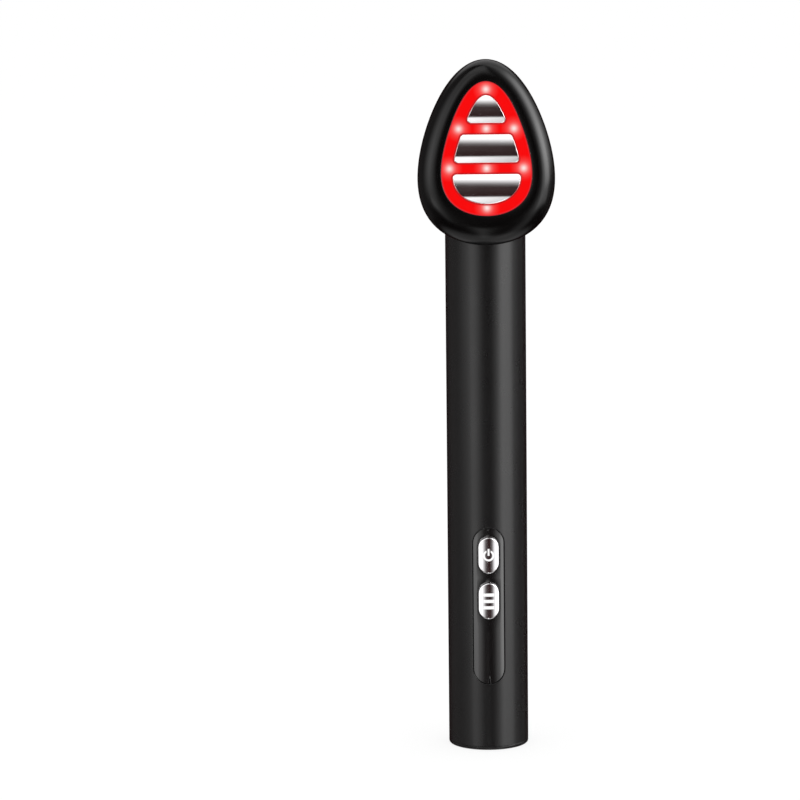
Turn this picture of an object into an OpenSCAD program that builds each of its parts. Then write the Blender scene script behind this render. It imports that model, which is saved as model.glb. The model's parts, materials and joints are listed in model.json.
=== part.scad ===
// Handheld light therapy wand with a swivelling teardrop head.
// The handle stands on its flat base at z = 0, its axis is Z, and the face of the head looks along -Y.
// The head is drawn in its own frame: X across, Y towards the tip, Z out of the face, from its back plane.

/* [Handle] */
// Outer diameter of the handle tube
tube_d = 21; // [19:0.5:24]
// Wall of the handle tube
tube_wall = 1.6; // [1.5:0.05:1.7]
// Room between the motor and the neck cap's spigot, which sets the length of the tube
spigot_room = 1.85; // [1.6:0.05:2.4]
// Chamfer round the foot of the tube
foot_chamfer = 0.5; // [0.2:0.1:0.8]
// Thickness of the base cap
base_t = 3; // [2.6:0.1:3.2]

/* [Head] */
// Length of the head from heel to tip
head_l = 47.8; // [44:0.2:50]
// Greatest width of the head
head_w = 35.4; // [33:0.2:38]
// How far the widest place sits towards the heel
head_taper = 0.269; // [0.2:0.01:0.32]
// How full the two ends of the head are
head_full = 0.098; // [0.05:0.01:0.16]
// Height of the parting line above the back of the head
part_h = 4.4; // [4.2:0.1:4.8]
// Rise of the front shell's rim above the parting line
rim_rise = 4.8; // [4.6:0.1:5.4]
// Share of the rim's width that is rounded
rim_round = 0.8; // [0.7:0.02:0.85]
// Inset of the flat back of the head from its outline
back_round = 3.2; // [2.6:0.1:3.6]
// Wall of both head shells
shell_wall = 1.6; // [1.4:0.05:1.7]
// Floor of the rear shell
shell_floor = 2; // [1.8:0.1:2.2]

/* [Window and plates] */
// Rim beside the window at the tip
rim_tip = 5.9; // [5.4:0.1:6.6]
// Rim beside the window at the heel
rim_heel = 7.6; // [7:0.1:8.2]
// Rim beside the window at the widest place
rim_side = 6.1; // [5.6:0.1:6.6]
// How far the widest place of the window sits towards the heel
window_taper = 0.368; // [0.3:0.01:0.42]
// How full the two ends of the window are
window_full = 0.158; // [0.1:0.01:0.2]
// Thickness of the window beside the plates
window_t = 1.2; // [1.1:0.1:1.4]
// Thickness of the window's hidden flange
flange_t = 0.8; // [0.7:0.1:0.9]
// Width of the window's hidden flange
flange_w = 0.9; // [0.7:0.1:1]
// Margin between the window's edge and the plates, at tip and heel
plate_margin = 3.25; // [3:0.05:3.8]
// Margin between the window's edge and the plates, at the sides
plate_side_margin = 2.85; // [2.6:0.05:3.2]
// How far the plates sit towards the heel from the middle of the window
plate_shift = 0.25; // [0:0.05:0.4]
// How far the widest place of the plates sits towards the heel
plate_taper = 0.52; // [0.45:0.01:0.6]
// How full the two ends of the plates' outline are
plate_full = 0.2; // [0.1:0.01:0.3]
// Height of the middle plate, from edge to edge
plate_h = 7.2; // [6.6:0.1:7.8]
// Gap between two plates
plate_gap = 2.95; // [2.8:0.05:3.4]
// Height of a plate's edge above the window
plate_edge = 0.2; // [0.1:0.05:0.4]
// Crown of a plate above its edge
plate_crown = 0.8; // [0.5:0.1:1]
// Corner radius of the plates
plate_corner = 0.9; // [0.5:0.1:1.1]
// Depth of the pockets that the plates sit in
pocket_t = 0.3; // [0.2:0.05:0.4]

/* [Neck and swivel] */
// Angle that the head leans back from the handle
head_lean = 7; // [5:0.5:9]
// Height of the swivel's centre above the joint between the tube and the neck cap
head_rise = 17; // [16:0.5:18]
// Height of the neck cap's dome above that joint
dome_rise = 19.5; // [19:0.5:20]
// Radius of the round boss that carries the head
boss_r = 8; // [7.7:0.1:8.4]
// Thickness of the neck cap's wall at the swivel
seat_t = 3; // [2.8:0.1:3.4]
// Length of the spigot that the neck cap puts into the tube
spigot_l = 11.4; // [10.8:0.1:12]
// Wall of the spigot
spigot_wall = 1.6; // [1.4:0.1:1.8]
// Gap between the head and the neck
head_gap = 0.6; // [0.5:0.05:0.8]
// Outer radius of the hollow swivel axle
axle_r = 4.55; // [4.3:0.05:4.7]
// Radius of the wire passage in the axle
axle_bore_r = 2.6; // [2.3:0.1:2.8]
// Length of the axle behind the head
axle_l = 6.2; // [6:0.1:6.6]
// Radius of the axle's flange inside the head
axle_flange_r = 7.2; // [7:0.1:7.4]
// Thickness of the axle's flange
axle_flange_t = 1; // [0.9:0.1:1.1]
// Wall of the swivel bush
bush_wall = 1; // [0.8:0.05:1.1]
// Thickness of the friction washer
washer_t = 0.5; // [0.4:0.05:0.5]
// Thickness of the wave washer
wave_t = 0.5; // [0.4:0.05:0.6]
// Thickness of the retaining clip
clip_t = 0.8; // [0.7:0.05:0.9]
// Depth of the clip's groove in the axle
groove_d = 0.55; // [0.4:0.05:0.65]

/* [Control panel] */
// Width of the control panel
panel_w = 8.2; // [8:0.1:8.8]
// Length of the control panel
panel_l = 41.8; // [41:0.2:43]
// Height of the lower end of the panel
panel_z = 17.8; // [17:0.1:18.6]
// Depth of the panel below the tube's surface
panel_recess = 0.35; // [0.2:0.05:0.4]
// Thickness of the panel
panel_t = 0.6; // [0.5:0.05:0.65]
// Width of the ledge that the panel rests on
panel_ledge = 0.75; // [0.6:0.05:0.8]
// Width of a button
button_w = 5.4; // [5:0.1:5.5]
// Length of a button
button_l = 9.6; // [9:0.1:9.8]
// Distance between the centres of the two buttons
button_pitch = 12.2; // [12:0.1:12.6]
// Margin between the panel's upper end and the power button
button_margin = 2.45; // [2.3:0.05:2.6]
// Height of a button above the tube's surface
button_proud = 0.25; // [0.15:0.05:0.4]
// Width of the retaining flange round a button
button_flange = 0.45; // [0.4:0.05:0.5]
// Thickness of the retaining flange
button_flange_t = 0.6; // [0.5:0.05:0.7]
// Travel of a button
button_travel = 0.35; // [0.2:0.05:0.4]
// Outer radius of the power mark
mark_r = 1.48; // [1.3:0.02:1.6]
// Width of the lines of the power mark
mark_line = 0.5; // [0.4:0.02:0.55]
// Width of the three bars of the mode mark
bars_w = 2.9; // [2.6:0.1:3]
// Height of each bar of the mode mark
bar_h = 0.84; // [0.7:0.02:0.9]
// Distance between the bars of the mode mark
bars_pitch = 1.7; // [1.6:0.02:1.9]

/* [Inside the handle] */
// Width of the main board
board_w = 12.6; // [12.2:0.1:13]
// Thickness of the main board
board_t = 1; // [0.8:0.1:1.1]
// Distance of the board's front face from the tube's bore
board_inset = 3.7; // [3.6:0.05:3.8]
// Height of the lower end of the board
board_z = 3.4; // [3.3:0.1:3.8]
// Rise of the board's upper end above the control panel
board_rise = 1.8; // [1.4:0.1:2.2]
// Height of a switch body
switch_t = 1.5; // [1.4:0.05:1.6]
// Width of a switch body
switch_w = 3.4; // [3.2:0.1:3.8]
// Length of a switch body
switch_l = 4.2; // [4:0.1:4.6]
// Radius of a switch plunger
plunger_r = 0.9; // [0.7:0.05:1]
// Width of the charging socket's shell
usb_w = 8.94; // [8.9:0.02:9]
// Height of the charging socket's shell
usb_h = 3.26; // [3.2:0.02:3.3]
// Depth of the charging socket's shell
usb_l = 7.35; // [7:0.05:7.6]
// Wall of the charging socket's shell
usb_wall = 0.3; // [0.25:0.01:0.33]
// Distance of the socket's mouth above the foot
usb_inset = 0.6; // [0.5:0.05:0.8]
// Wall of the chassis beside the board
chassis_wall = 1.75; // [1.6:0.05:1.9]
// Thickness of the chassis bulkheads
bulkhead_t = 1.6; // [1.4:0.1:1.8]
// Wall of the chassis behind the battery cell
cell_wall = 1.05; // [1:0.05:1.25]
// Length of the battery cell
cell_l = 50; // [49:0.5:50.5]
// Distance of the cell behind the handle's axis
cell_y = 0.7; // [0.6:0.05:0.8]
// Thickness of the battery contacts
contact_t = 0.4; // [0.3:0.05:0.5]
// Radius of the vibration motor
motor_r = 4; // [3.8:0.1:4.1]
// Length of the vibration motor
motor_l = 11; // [10.5:0.1:11.2]
// Distance of the motor behind the handle's axis
motor_y = 2; // [1.8:0.1:2.2]
// Radius of the motor's shaft
shaft_r = 0.5; // [0.4:0.05:0.6]
// Radius of the eccentric weight
weight_r = 3.8; // [3.4:0.1:3.9]
// Height of the eccentric weight
weight_h = 4; // [3:0.1:4.2]
// Radius of the wire loom to the head
loom_r = 0.9; // [0.7:0.05:1]
// Radius of a single lead
lead_r = 0.5; // [0.4:0.05:0.6]
// Angle of the two leads from the front of the handle
lead_angle = 32.5; // [30:0.5:35]

/* [Inside the head] */
// Thickness of the light board
led_board_t = 1; // [0.9:0.1:1.1]
// Height of the light board's back above the back of the head
led_board_z = 4.2; // [4.1:0.05:4.3]
// Gap between the light board and the wall of the rear shell
led_board_gap = 0.2; // [0.15:0.05:0.4]
// Width of a light
led_w = 2.2; // [2:0.1:2.6]
// Height of a light
led_t = 0.9; // [0.7:0.05:1]
// Distance of the outer lights of the upper row from the middle
led_upper_x = 7.1; // [6.8:0.1:7.4]
// Distance of the outer lights of the lower row from the middle
led_lower_x = 9.5; // [9.2:0.1:9.8]
// Margin between the window's edge and the lights at tip and heel
led_margin = 2; // [1.6:0.1:2.4]
// Radius of the posts that carry the light board
post_r = 1.6; // [1.5:0.05:1.7]
// Distance of the posts' centres from the outline of the head
post_inset = 5.6; // [5.3:0.1:5.8]
// Radius of a contact pin under a plate
pin_r = 0.7; // [0.6:0.05:0.75]

/* [Fasteners and fits] */
// Radius of the shank of every screw
screw_r = 0.8; // [0.7:0.05:0.9]
// Radius of the head of every screw
screw_head_r = 1.5; // [1.4:0.05:1.6]
// Height of the head of every screw
screw_head_t = 0.7; // [0.6:0.05:0.8]
// Height of the bosses that take the base screws
boss_h = 9; // [8:0.5:10]
// Radius of the bosses that take the base screws
screw_boss_r = 1.9; // [1.7:0.1:2]
// Angle of the base screws behind the handle's side
base_screw_angle = 32; // [28:1:36]
// Depth of the base screws' heads in the base cap
screw_sink = 1; // [0.7:0.1:1.1]
// Radius of the shank of the axle's screws
axle_screw_r = 0.65; // [0.6:0.05:0.7]
// Radius of the head of the axle's screws
axle_screw_head_r = 1.2; // [1.1:0.05:1.25]
// Height of the head of the axle's screws
axle_screw_head_t = 0.55; // [0.5:0.05:0.6]
// Length of the axle's screws below their heads
axle_screw_l = 2.1; // [2:0.1:2.3]
// Length of the light board's screws below their heads
led_screw_l = 3.6; // [3.4:0.1:3.8]
// Clearance round a screw or a fixed pin
screw_gap = 0.05; // [0.03:0.01:0.08]
// Clearance between fixed pieces that slide together
fit_gap = 0.05; // [0.03:0.01:0.08]
// Radial clearance of a shaft in its bore
run_gap = 0.05; // [0.03:0.01:0.08]
// Clearance round a button
button_gap = 0.18; // [0.12:0.02:0.2]

/* [Hidden] */
$fn = 64;
outline_points = 72;
// Reach of cutting blocks, how far a cut runs past a face, and how far joined shapes run together
far = 60;
past = 1;
merge = 0.1;
tube_r = tube_d / 2;
bore_r = tube_r - tube_wall;

// Head: heights above its back plane
rim_top = part_h + rim_rise;
rim_edge = 0.3;
window_sink = 0.5;
window_front = rim_top - window_sink;
lip_bottom = window_front - window_t;
window_l = head_l - rim_tip - rim_heel;
window_w = head_w - 2 * rim_side;
window_y = (rim_heel - rim_tip) / 2;
plate_base = window_front - pocket_t;
plates_l = window_l - 2 * plate_margin;
plates_w = window_w - 2 * plate_side_margin;
plates_y = window_y - plate_shift;
rib_rise = plate_edge + plate_crown;
rib_half = plate_h / 2;
rib_r = (rib_half * rib_half + plate_crown * plate_crown) / (2 * plate_crown);
band_step = plate_h + plate_gap;
upper_edge = window_y + plate_h / 2 + plate_gap;
lower_edge = window_y - plate_h / 2 - plate_gap;
upper_mid = (upper_edge + plates_y + plates_l / 2) / 2;
lower_mid = (lower_edge + plates_y - plates_l / 2) / 2;
plate_mids = [upper_mid, window_y, lower_mid];
led_front = led_board_z + led_board_t;
window_back = lip_bottom - flange_t;
led_rows = [window_y + band_step / 2, window_y - band_step / 2];
foot_r = pin_r + 0.1;
foot_bottom = window_back - 0.3;
led_plug_back = 3.3;
led_plug_r = 2.2;

// Inside the handle, from the board up to the neck cap's spigot
chassis_r = bore_r - fit_gap;
cell_play = 2 * fit_gap;
cell_d = 2 * (chassis_r - cell_wall - cell_y - cell_play);
board_y = bore_r - board_inset;
board_top = panel_z + panel_l + board_rise;
board_l = board_top - board_z;
board_back = board_y - board_t;
board_headroom = 1.05;
contact_gap = 0.05;
contact_r = 4.5;
lower_shelf = board_top + board_headroom + bulkhead_t;
cell_z = lower_shelf + contact_t + contact_gap;
cell_top = cell_z + cell_l;
cell_cap_r = 2.8;
cell_cap_t = 1;
upper_shelf = cell_top + contact_t + contact_gap;
motor_gap = 0.2;
motor_z = upper_shelf + bulkhead_t + motor_gap;
motor_top = motor_z + motor_l;
motor_nose_r = 1.2;
motor_nose_t = 0.6;
shaft_foot = 3;
weight_gap = 0.4;
weight_hub_r = 1.5;
chassis_front = 1;
spigot_bottom = motor_top + spigot_room;
tube_top = spigot_bottom + spigot_l;

// Neck: the seat plane starts at the front of the joint and leans back with the head
head_z = tube_top + head_rise;
dome_z = tube_top + dome_rise;
seat_y = -tube_r + (head_z - tube_top) * tan(head_lean);
face_dir = [0, -cos(head_lean), sin(head_lean)];
pivot = [0, seat_y, head_z] + head_gap * face_dir;
seat_back = -head_gap - seat_t;
bush_r = axle_r + run_gap + bush_wall;
clip_play = 0.1;
clip_top = seat_back - wave_t - clip_play;
groove_play = 0.03;
axle_screw_ring = (axle_r + axle_flange_r) / 2;
blind_end = 0.5;

// Control panel: radii from the handle's axis, heights from the foot
panel_front = tube_r - panel_recess;
panel_back = panel_front - panel_t;
power_z = panel_z + panel_l - button_margin - button_l / 2;
mode_z = power_z - button_pitch;
button_front = tube_r + button_proud;
flange_play = 0.1;
flange_front = panel_back - flange_play;
flange_back = flange_front - button_flange_t;
button_stem_r = 1.2;
plunger_rise = 0.5;
plunger_top = board_y + switch_t + plunger_rise;
switch_floor = 0.4;
mark_t = 0.2;
mark_proud = 0.03;

// Base screws and charging socket
base_screw_ring = chassis_r - screw_boss_r - 0.55;
base_screw_spots = [for (s = [-1, 1])
    base_screw_ring * [s * cos(base_screw_angle), sin(base_screw_angle)]];
usb_back = 0.8;
tongue_inset = 0.7;
usb_top = usb_inset + usb_l;
plug_w = 3.6;
plug_t = 2;
plug_l = 3.4;
plug_margin = 0.6;

// Parts on the back of the board: those for charging stand above the socket, the rest below a button
charger_side = 3;
charger_x = -2.6;
coil_side = 3.6;
coil_x = 2.4;
coil_t = 1.8;
charger_rise = 8.45;
chip_side = 5;
chip_t = 0.9;
chip_rise = 19.55;
memory_w = 4;
memory_l = 3;
memory_t = 1.1;
memory_drop = 2.65;
capacitor_w = 1;
capacitor_l = 1.8;
capacitor_t = 0.7;
capacitor_pitch = 2.4;
capacitor_rise = 14.45;
shell_lip = 1.2;
shell_lip_t = 0.8;

// Wires run down in front of the cell to the upper end of the board
wire_gap = 0.2;
lead_ring = bore_r - lead_r - wire_gap;
lead_x = lead_ring * sin(lead_angle);
lead_y = -lead_ring * cos(lead_angle);
lead_overlap = 2;
lead_foot = board_top - lead_overlap;
lead_end_y = -board_y - lead_r - 0.02;
loom_y = -(bore_r - loom_r - 2 * wire_gap);
loom_spigot_y = -(bore_r - fit_gap - spigot_wall - loom_r - 2 * wire_gap);
loom_end_y = -board_y - plug_t / 2;

// Teardrop outline, clockwise from the tip: length l, width w, centred at height y
function drop_width(a, taper, full) = sin(a) * (1 - taper * cos(a) + full * cos(a) * cos(a));
function drop(l, w, y, taper, full) =
    let (widest = max([for (a = [0:1:180]) drop_width(a, taper, full)]))
    [for (i = [0:outline_points - 1])
        let (a = 360 * i / outline_points)
        [w / 2 * drop_width(a, taper, full) / widest, y + l / 2 * cos(a)]];

// The same outline moved inwards by d along its own normals
function inset(p, d) =
    let (n = len(p))
    [for (i = [0:n - 1])
        let (t = p[(i + 1) % n] - p[(i + n - 1) % n])
        p[i] + d * [t[1], -t[0]] / norm(t)];

// An outline part of the way from p to q
function between(p, q, k) = [for (i = [0:len(p) - 1]) p[i] + (q[i] - p[i]) * k];

function at_height(p, z) = [for (v = p) [v[0], v[1], z]];

head_outline = drop(head_l, head_w, 0, head_taper, head_full);
window_outline = drop(window_l, window_w, window_y, window_taper, window_full);
opening_outline = inset(window_outline, -fit_gap);
plates_outline = drop(plates_l, plates_w, plates_y, plate_taper, plate_full);

// The posts of the light board stand beside these points of the head's outline
post_steps = [12, 22, 50, 60];
post_line = inset(head_outline, post_inset);
post_spots = [for (i = post_steps) post_line[i]];

// Skin between rings of equal length; closed rings join the last ring to the first
module loft(rings, closed) {
    n = len(rings[0]);
    m = len(rings);
    last = closed ? m - 1 : m - 2;
    walls = [for (j = [0:last]) for (i = [0:n - 1])
        let (a = j * n, b = ((j + 1) % m) * n, k = (i + 1) % n)
        each [[a + i, a + k, b + k], [a + i, b + k, b + i]]];
    ends = closed ? [] : [[for (i = [n - 1:-1:0]) i], [for (i = [0:n - 1]) (m - 1) * n + i]];
    polyhedron(points = [for (r = rings) for (p = r) p], faces = concat(walls, ends), convexity = 6);
}

module at_head() {
    translate(pivot) rotate([90 - head_lean, 0, 0]) children();
}

module ring(r_out, r_in, h) {
    difference() {
        cylinder(r = r_out, h = h);
        translate([0, 0, -past]) cylinder(r = r_in, h = h + 2 * past);
    }
}

// Flat pill of overall size w by l, long side upright
module pill(w, l) {
    square([w, l - w], center = true);
    for (s = [-1, 1]) translate([0, s * (l - w) / 2]) circle(d = w);
}

// Prism through the front wall of the handle, its outline centred at height z
module through_front(z) {
    translate([0, 0, z]) rotate([90, 0, 0]) linear_extrude(height = far) children();
}

// The part of such a prism between two radii of the handle
module front_slice(z, r_out, r_in) {
    difference() {
        intersection() {
            through_front(z) children();
            cylinder(r = r_out, h = far * 2);
        }
        translate([0, 0, -past]) cylinder(r = r_in, h = far * 2 + 2 * past);
    }
}

// Cuts the corners off a path, twice by default, and keeps its two ends
function soften(p, times = 2) = times == 0 ? p :
    soften(concat([p[0]],
        [for (i = [1:len(p) - 2]) each [(p[i - 1] + 3 * p[i]) / 4, (3 * p[i] + p[i + 1]) / 4]],
        [p[len(p) - 1]]), times - 1);

// Round wire along a list of points, square to the path at both ends
wire_sides = 10;
module wire(route, r) {
    p = soften(route);
    last = len(p) - 1;
    rings = [for (i = [0:last])
        let (t = p[min(i + 1, last)] - p[max(i - 1, 0)],
            d = t / norm(t),
            u = [1, 0, 0] - d[0] * d,
            v = cross(d, u / norm(u)))
        [for (k = [0:wire_sides - 1])
            p[i] + r * (cos(360 * k / wire_sides) * u / norm(u) + sin(360 * k / wire_sides) * v)]];
    loft(rings, false);
}

// Screw along Z with its head on top of z = 0, and a cross slot in the head
module screw(l, r = screw_r, head_r = screw_head_r, head_t = screw_head_t) {
    slot_l = 1.2 * head_r;
    slot_w = 0.2 * head_r;
    translate([0, 0, -l]) cylinder(r = r, h = l, $fn = 32);
    difference() {
        cylinder(r = head_r, h = head_t, $fn = 32);
        for (a = [0, 90]) rotate([0, 0, a])
            translate([-slot_l / 2, -slot_w / 2, head_t / 2]) cube([slot_l, slot_w, head_t]);
    }
}

module base_screw_holes(z, r, h) {
    for (p = base_screw_spots) translate([p[0], p[1], z]) cylinder(r = r, h = h);
}

module at_axle_screws(z) {
    for (a = [90, 210, 330]) rotate([0, 0, a]) translate([axle_screw_ring, 0, z]) children();
}

module at_posts(z) {
    for (p = post_spots) translate([p[0], p[1], z]) children();
}

module handle_tube() {
    color([0.1, 0.1, 0.105]) difference() {
        union() {
            cylinder(r1 = tube_r - foot_chamfer, r2 = tube_r, h = foot_chamfer);
            translate([0, 0, foot_chamfer]) cylinder(r = tube_r, h = tube_top - foot_chamfer);
        }
        translate([0, 0, -past]) cylinder(r = bore_r, h = tube_top + 2 * past);
        front_slice(panel_z + panel_l / 2, tube_r + past, panel_back)
            pill(panel_w + 2 * fit_gap, panel_l + 2 * fit_gap);
        through_front(panel_z + panel_l / 2)
            pill(panel_w - 2 * panel_ledge, panel_l - 2 * panel_ledge);
    }
}

// The charging socket lies against the back of the main board, its mouth at the foot
module usb_profile(grow) {
    r = usb_h / 2 + grow;
    offset_x = usb_w / 2 + grow - r;
    translate([-offset_x, -r]) square([2 * offset_x, 2 * r]);
    for (s = [-1, 1]) translate([s * offset_x, 0]) circle(r = r, $fn = 32);
}

module at_usb(z) {
    translate([0, usb_h / 2 - board_back, z]) children();
}

module base_cap() {
    color([0.09, 0.09, 0.095]) difference() {
        cylinder(r = bore_r - fit_gap, h = base_t);
        at_usb(-past) linear_extrude(height = base_t + 2 * past) usb_profile(2 * fit_gap);
        base_screw_holes(-past, screw_r + screw_gap, base_t + 2 * past);
        base_screw_holes(-past, screw_head_r + screw_gap, past + screw_sink + screw_head_t);
    }
}

module base_screws() {
    color([0.55, 0.56, 0.58])
        for (p = base_screw_spots) translate([p[0], p[1], screw_sink + screw_head_t])
            rotate([180, 0, 0]) screw(boss_h);
}

// Half pipe open to the front, between two heights, cut off in front of y = -front
module cradle(z0, z1, inner_r, inner_y, front) {
    translate([0, 0, z0]) difference() {
        cylinder(r = chassis_r, h = z1 - z0);
        translate([0, inner_y, -past]) cylinder(r = inner_r, h = z1 - z0 + 2 * past);
        translate([-far, -far - front, -past]) cube([2 * far, far, z1 - z0 + 2 * past]);
    }
}

module bulkhead(z, front) {
    translate([0, 0, z]) difference() {
        cylinder(r = chassis_r, h = bulkhead_t);
        translate([-far, -far - front, -past]) cube([2 * far, far, bulkhead_t + 2 * past]);
    }
}

module chassis() {
    color([0.82, 0.82, 0.8]) difference() {
        union() {
            cradle(base_t, lower_shelf - bulkhead_t, chassis_r - chassis_wall, 0, board_back);
            bulkhead(lower_shelf - bulkhead_t, board_back);
            cradle(lower_shelf, upper_shelf, cell_d / 2 + cell_play, cell_y, chassis_front);
            bulkhead(upper_shelf, chassis_front);
            cradle(upper_shelf + bulkhead_t, motor_top, motor_r + fit_gap, motor_y, chassis_front);
            base_screw_holes(base_t, screw_boss_r, boss_h);
        }
        base_screw_holes(base_t - past, screw_r + screw_gap, boss_h);
    }
}

module main_board() {
    color([0.05, 0.3, 0.14])
        translate([-board_w / 2, -board_y, board_z]) cube([board_w, board_t, board_l]);
}

// Component w wide, l high and t thick on the back of the board, centred at height z
module on_board_back(x, z, w, l, t) {
    translate([x - w / 2, -board_back, z - l / 2]) cube([w, t, l]);
}

// Control chip, charging chip, coil, capacitors, memory and the plug of the loom
module board_parts() {
    color([0.1, 0.1, 0.11]) {
        on_board_back(0, usb_top + chip_rise, chip_side, chip_side, chip_t);
        on_board_back(charger_x, usb_top + charger_rise, charger_side, charger_side, chip_t);
        on_board_back(coil_x, usb_top + charger_rise, coil_side, coil_side, coil_t);
        for (x = capacitor_pitch * [-1.5, -0.5, 0.5, 1.5])
            on_board_back(x, usb_top + capacitor_rise, capacitor_w, capacitor_l, capacitor_t);
        on_board_back(0, mode_z - memory_drop, memory_w, memory_l, memory_t);
        translate([-plug_w / 2, -board_y - plug_t, board_top - plug_margin - plug_l])
            cube([plug_w, plug_t, plug_l]);
    }
}

module usb_socket() {
    color([0.72, 0.73, 0.75]) at_usb(usb_inset) difference() {
        linear_extrude(height = usb_l) usb_profile(0);
        translate([0, 0, -past]) linear_extrude(height = usb_l - usb_back + past)
            usb_profile(-usb_wall);
    }
}

// The tongue stands on the closed back of the shell
module usb_tongue() {
    tongue_w = 6.7;
    tongue_t = 0.7;
    tongue_l = usb_l - usb_back - tongue_inset;
    color([0.06, 0.06, 0.065]) at_usb(usb_inset + tongue_inset)
        translate([-tongue_w / 2, -tongue_t / 2, 0]) cube([tongue_w, tongue_t, tongue_l]);
}

module switch_body(z) {
    color([0.16, 0.16, 0.17]) difference() {
        translate([-switch_w / 2, -board_y - switch_t, z - switch_l / 2])
            cube([switch_w, switch_t, switch_l]);
        translate([0, -board_y - switch_floor, z]) rotate([90, 0, 0])
            cylinder(r = plunger_r + run_gap, h = switch_t, $fn = 32);
    }
}

module power_switch() {
    switch_body(power_z);
}

module mode_switch() {
    switch_body(mode_z);
}

module switch_plunger(z) {
    foot = board_y + switch_floor + button_travel + 0.1;
    color([0.75, 0.72, 0.62]) translate([0, -foot, z]) rotate([90, 0, 0])
        cylinder(r = plunger_r, h = plunger_top - foot, $fn = 32);
}

module power_plunger() {
    switch_plunger(power_z);
}

module mode_plunger() {
    switch_plunger(mode_z);
}

module battery_cell() {
    color([0.1, 0.35, 0.6]) translate([0, cell_y, cell_z])
        cylinder(d = cell_d, h = cell_l - cell_cap_t);
    color([0.75, 0.75, 0.76]) translate([0, cell_y, cell_top - cell_cap_t])
        cylinder(r = cell_cap_r, h = cell_cap_t);
}

// The lower contact has a leg that stands on the upper end of the board
module battery_contacts() {
    leg_w = 3;
    leg_y = -board_y + (board_t - contact_t) / 2;
    color([0.85, 0.72, 0.35]) {
        translate([0, cell_y, lower_shelf]) cylinder(r = contact_r, h = contact_t);
        translate([0, cell_y, cell_top + contact_gap]) cylinder(r = contact_r, h = contact_t);
        translate([-leg_w / 2, leg_y, lower_shelf]) cube([leg_w, cell_y - leg_y, contact_t]);
        translate([-leg_w / 2, leg_y, board_top]) cube([leg_w, contact_t, cell_z - board_top - contact_gap]);
    }
}

// From beside something round of radius r at height z and depth y, down to the board on side s
module lead(s, r, y, z) {
    slant = 30;
    start = [s * (r + merge) * sin(slant), y - (r + merge) * cos(slant), z];
    wire([start, start + 3.3 * [s * sin(slant), -cos(slant), 0], [s * lead_x, lead_y, z - 2],
        [s * lead_x, lead_y, lead_foot + 6], [s * lead_x, lead_end_y, lead_foot + 3],
        [s * lead_x, lead_end_y, lead_foot]], lead_r);
}

module battery_lead() {
    color([0.75, 0.08, 0.06]) lead(1, contact_r, cell_y, cell_top + contact_gap + contact_t / 2);
}

module motor_lead() {
    color([0.08, 0.08, 0.09]) lead(-1, motor_r, motor_y, motor_z + 2);
}

module control_panel() {
    color([0.06, 0.06, 0.065]) difference() {
        front_slice(panel_z + panel_l / 2, panel_front, panel_back + fit_gap / 5)
            pill(panel_w, panel_l);
        for (z = [power_z, mode_z])
            through_front(z) pill(button_w + 2 * button_gap, button_l + 2 * button_gap);
    }
}

module button_cap(z) {
    front_slice(z, button_front, flange_front - merge) pill(button_w, button_l);
    front_slice(z, flange_front, flange_back)
        pill(button_w + 2 * button_flange, button_l + 2 * button_flange);
    translate([0, -plunger_top, z]) rotate([90, 0, 0])
        cylinder(r = button_stem_r, h = flange_back - plunger_top + 3 * merge, $fn = 32);
}

module power_shape() {
    gap_w = 2.2 * mark_line;
    bar_rise = 0.35;
    difference() {
        circle(r = mark_r);
        circle(r = mark_r - mark_line);
        translate([-gap_w / 2, 0]) square([gap_w, 2 * mark_r]);
    }
    translate([-mark_line / 2, 0]) square([mark_line, mark_r + bar_rise]);
}

module mode_shape() {
    for (i = [-1:1]) translate([0, i * bars_pitch]) square([bars_w, bar_h], center = true);
}

module power_button() {
    color([0.86, 0.86, 0.87]) difference() {
        button_cap(power_z);
        front_slice(power_z, button_front + past, button_front - mark_t) power_shape();
    }
}

module power_mark() {
    color([0.97, 0.97, 0.97])
        front_slice(power_z, button_front + mark_proud, button_front - mark_t) power_shape();
}

module mode_button() {
    color([0.86, 0.86, 0.87]) difference() {
        button_cap(mode_z);
        front_slice(mode_z, button_front + past, button_front - mark_t) mode_shape();
    }
}

module mode_mark() {
    color([0.97, 0.97, 0.97])
        front_slice(mode_z, button_front + mark_proud, button_front - mark_t) mode_shape();
}

module vibration_motor() {
    color([0.7, 0.71, 0.73]) translate([0, motor_y, motor_z]) difference() {
        union() {
            cylinder(r = motor_r, h = motor_l - motor_nose_t);
            cylinder(r = motor_nose_r, h = motor_l);
        }
        translate([0, 0, shaft_foot]) cylinder(r = shaft_r + run_gap, h = motor_l, $fn = 32);
    }
}

module motor_shaft() {
    foot = motor_z + shaft_foot + 2 * merge;
    color([0.6, 0.61, 0.63]) translate([0, motor_y, foot])
        cylinder(r = shaft_r, h = motor_top + weight_h + 2 * weight_gap - foot, $fn = 32);
}

module eccentric_weight() {
    color([0.5, 0.5, 0.52]) translate([0, motor_y, motor_top + weight_gap]) difference() {
        union() {
            intersection() {
                cylinder(r = weight_r, h = weight_h);
                translate([-far, -far, -past]) cube([2 * far, far, weight_h + 2 * past]);
            }
            cylinder(r = weight_hub_r, h = weight_h);
        }
        translate([0, 0, -past]) cylinder(r = shaft_r + 0.01, h = weight_h + 2 * past, $fn = 32);
    }
}

// Everything behind the plane at height w of the head's frame
module behind(w) {
    at_head() translate([-far, -far, w - 2 * far]) cube([2 * far, 2 * far, 2 * far]);
}

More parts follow.
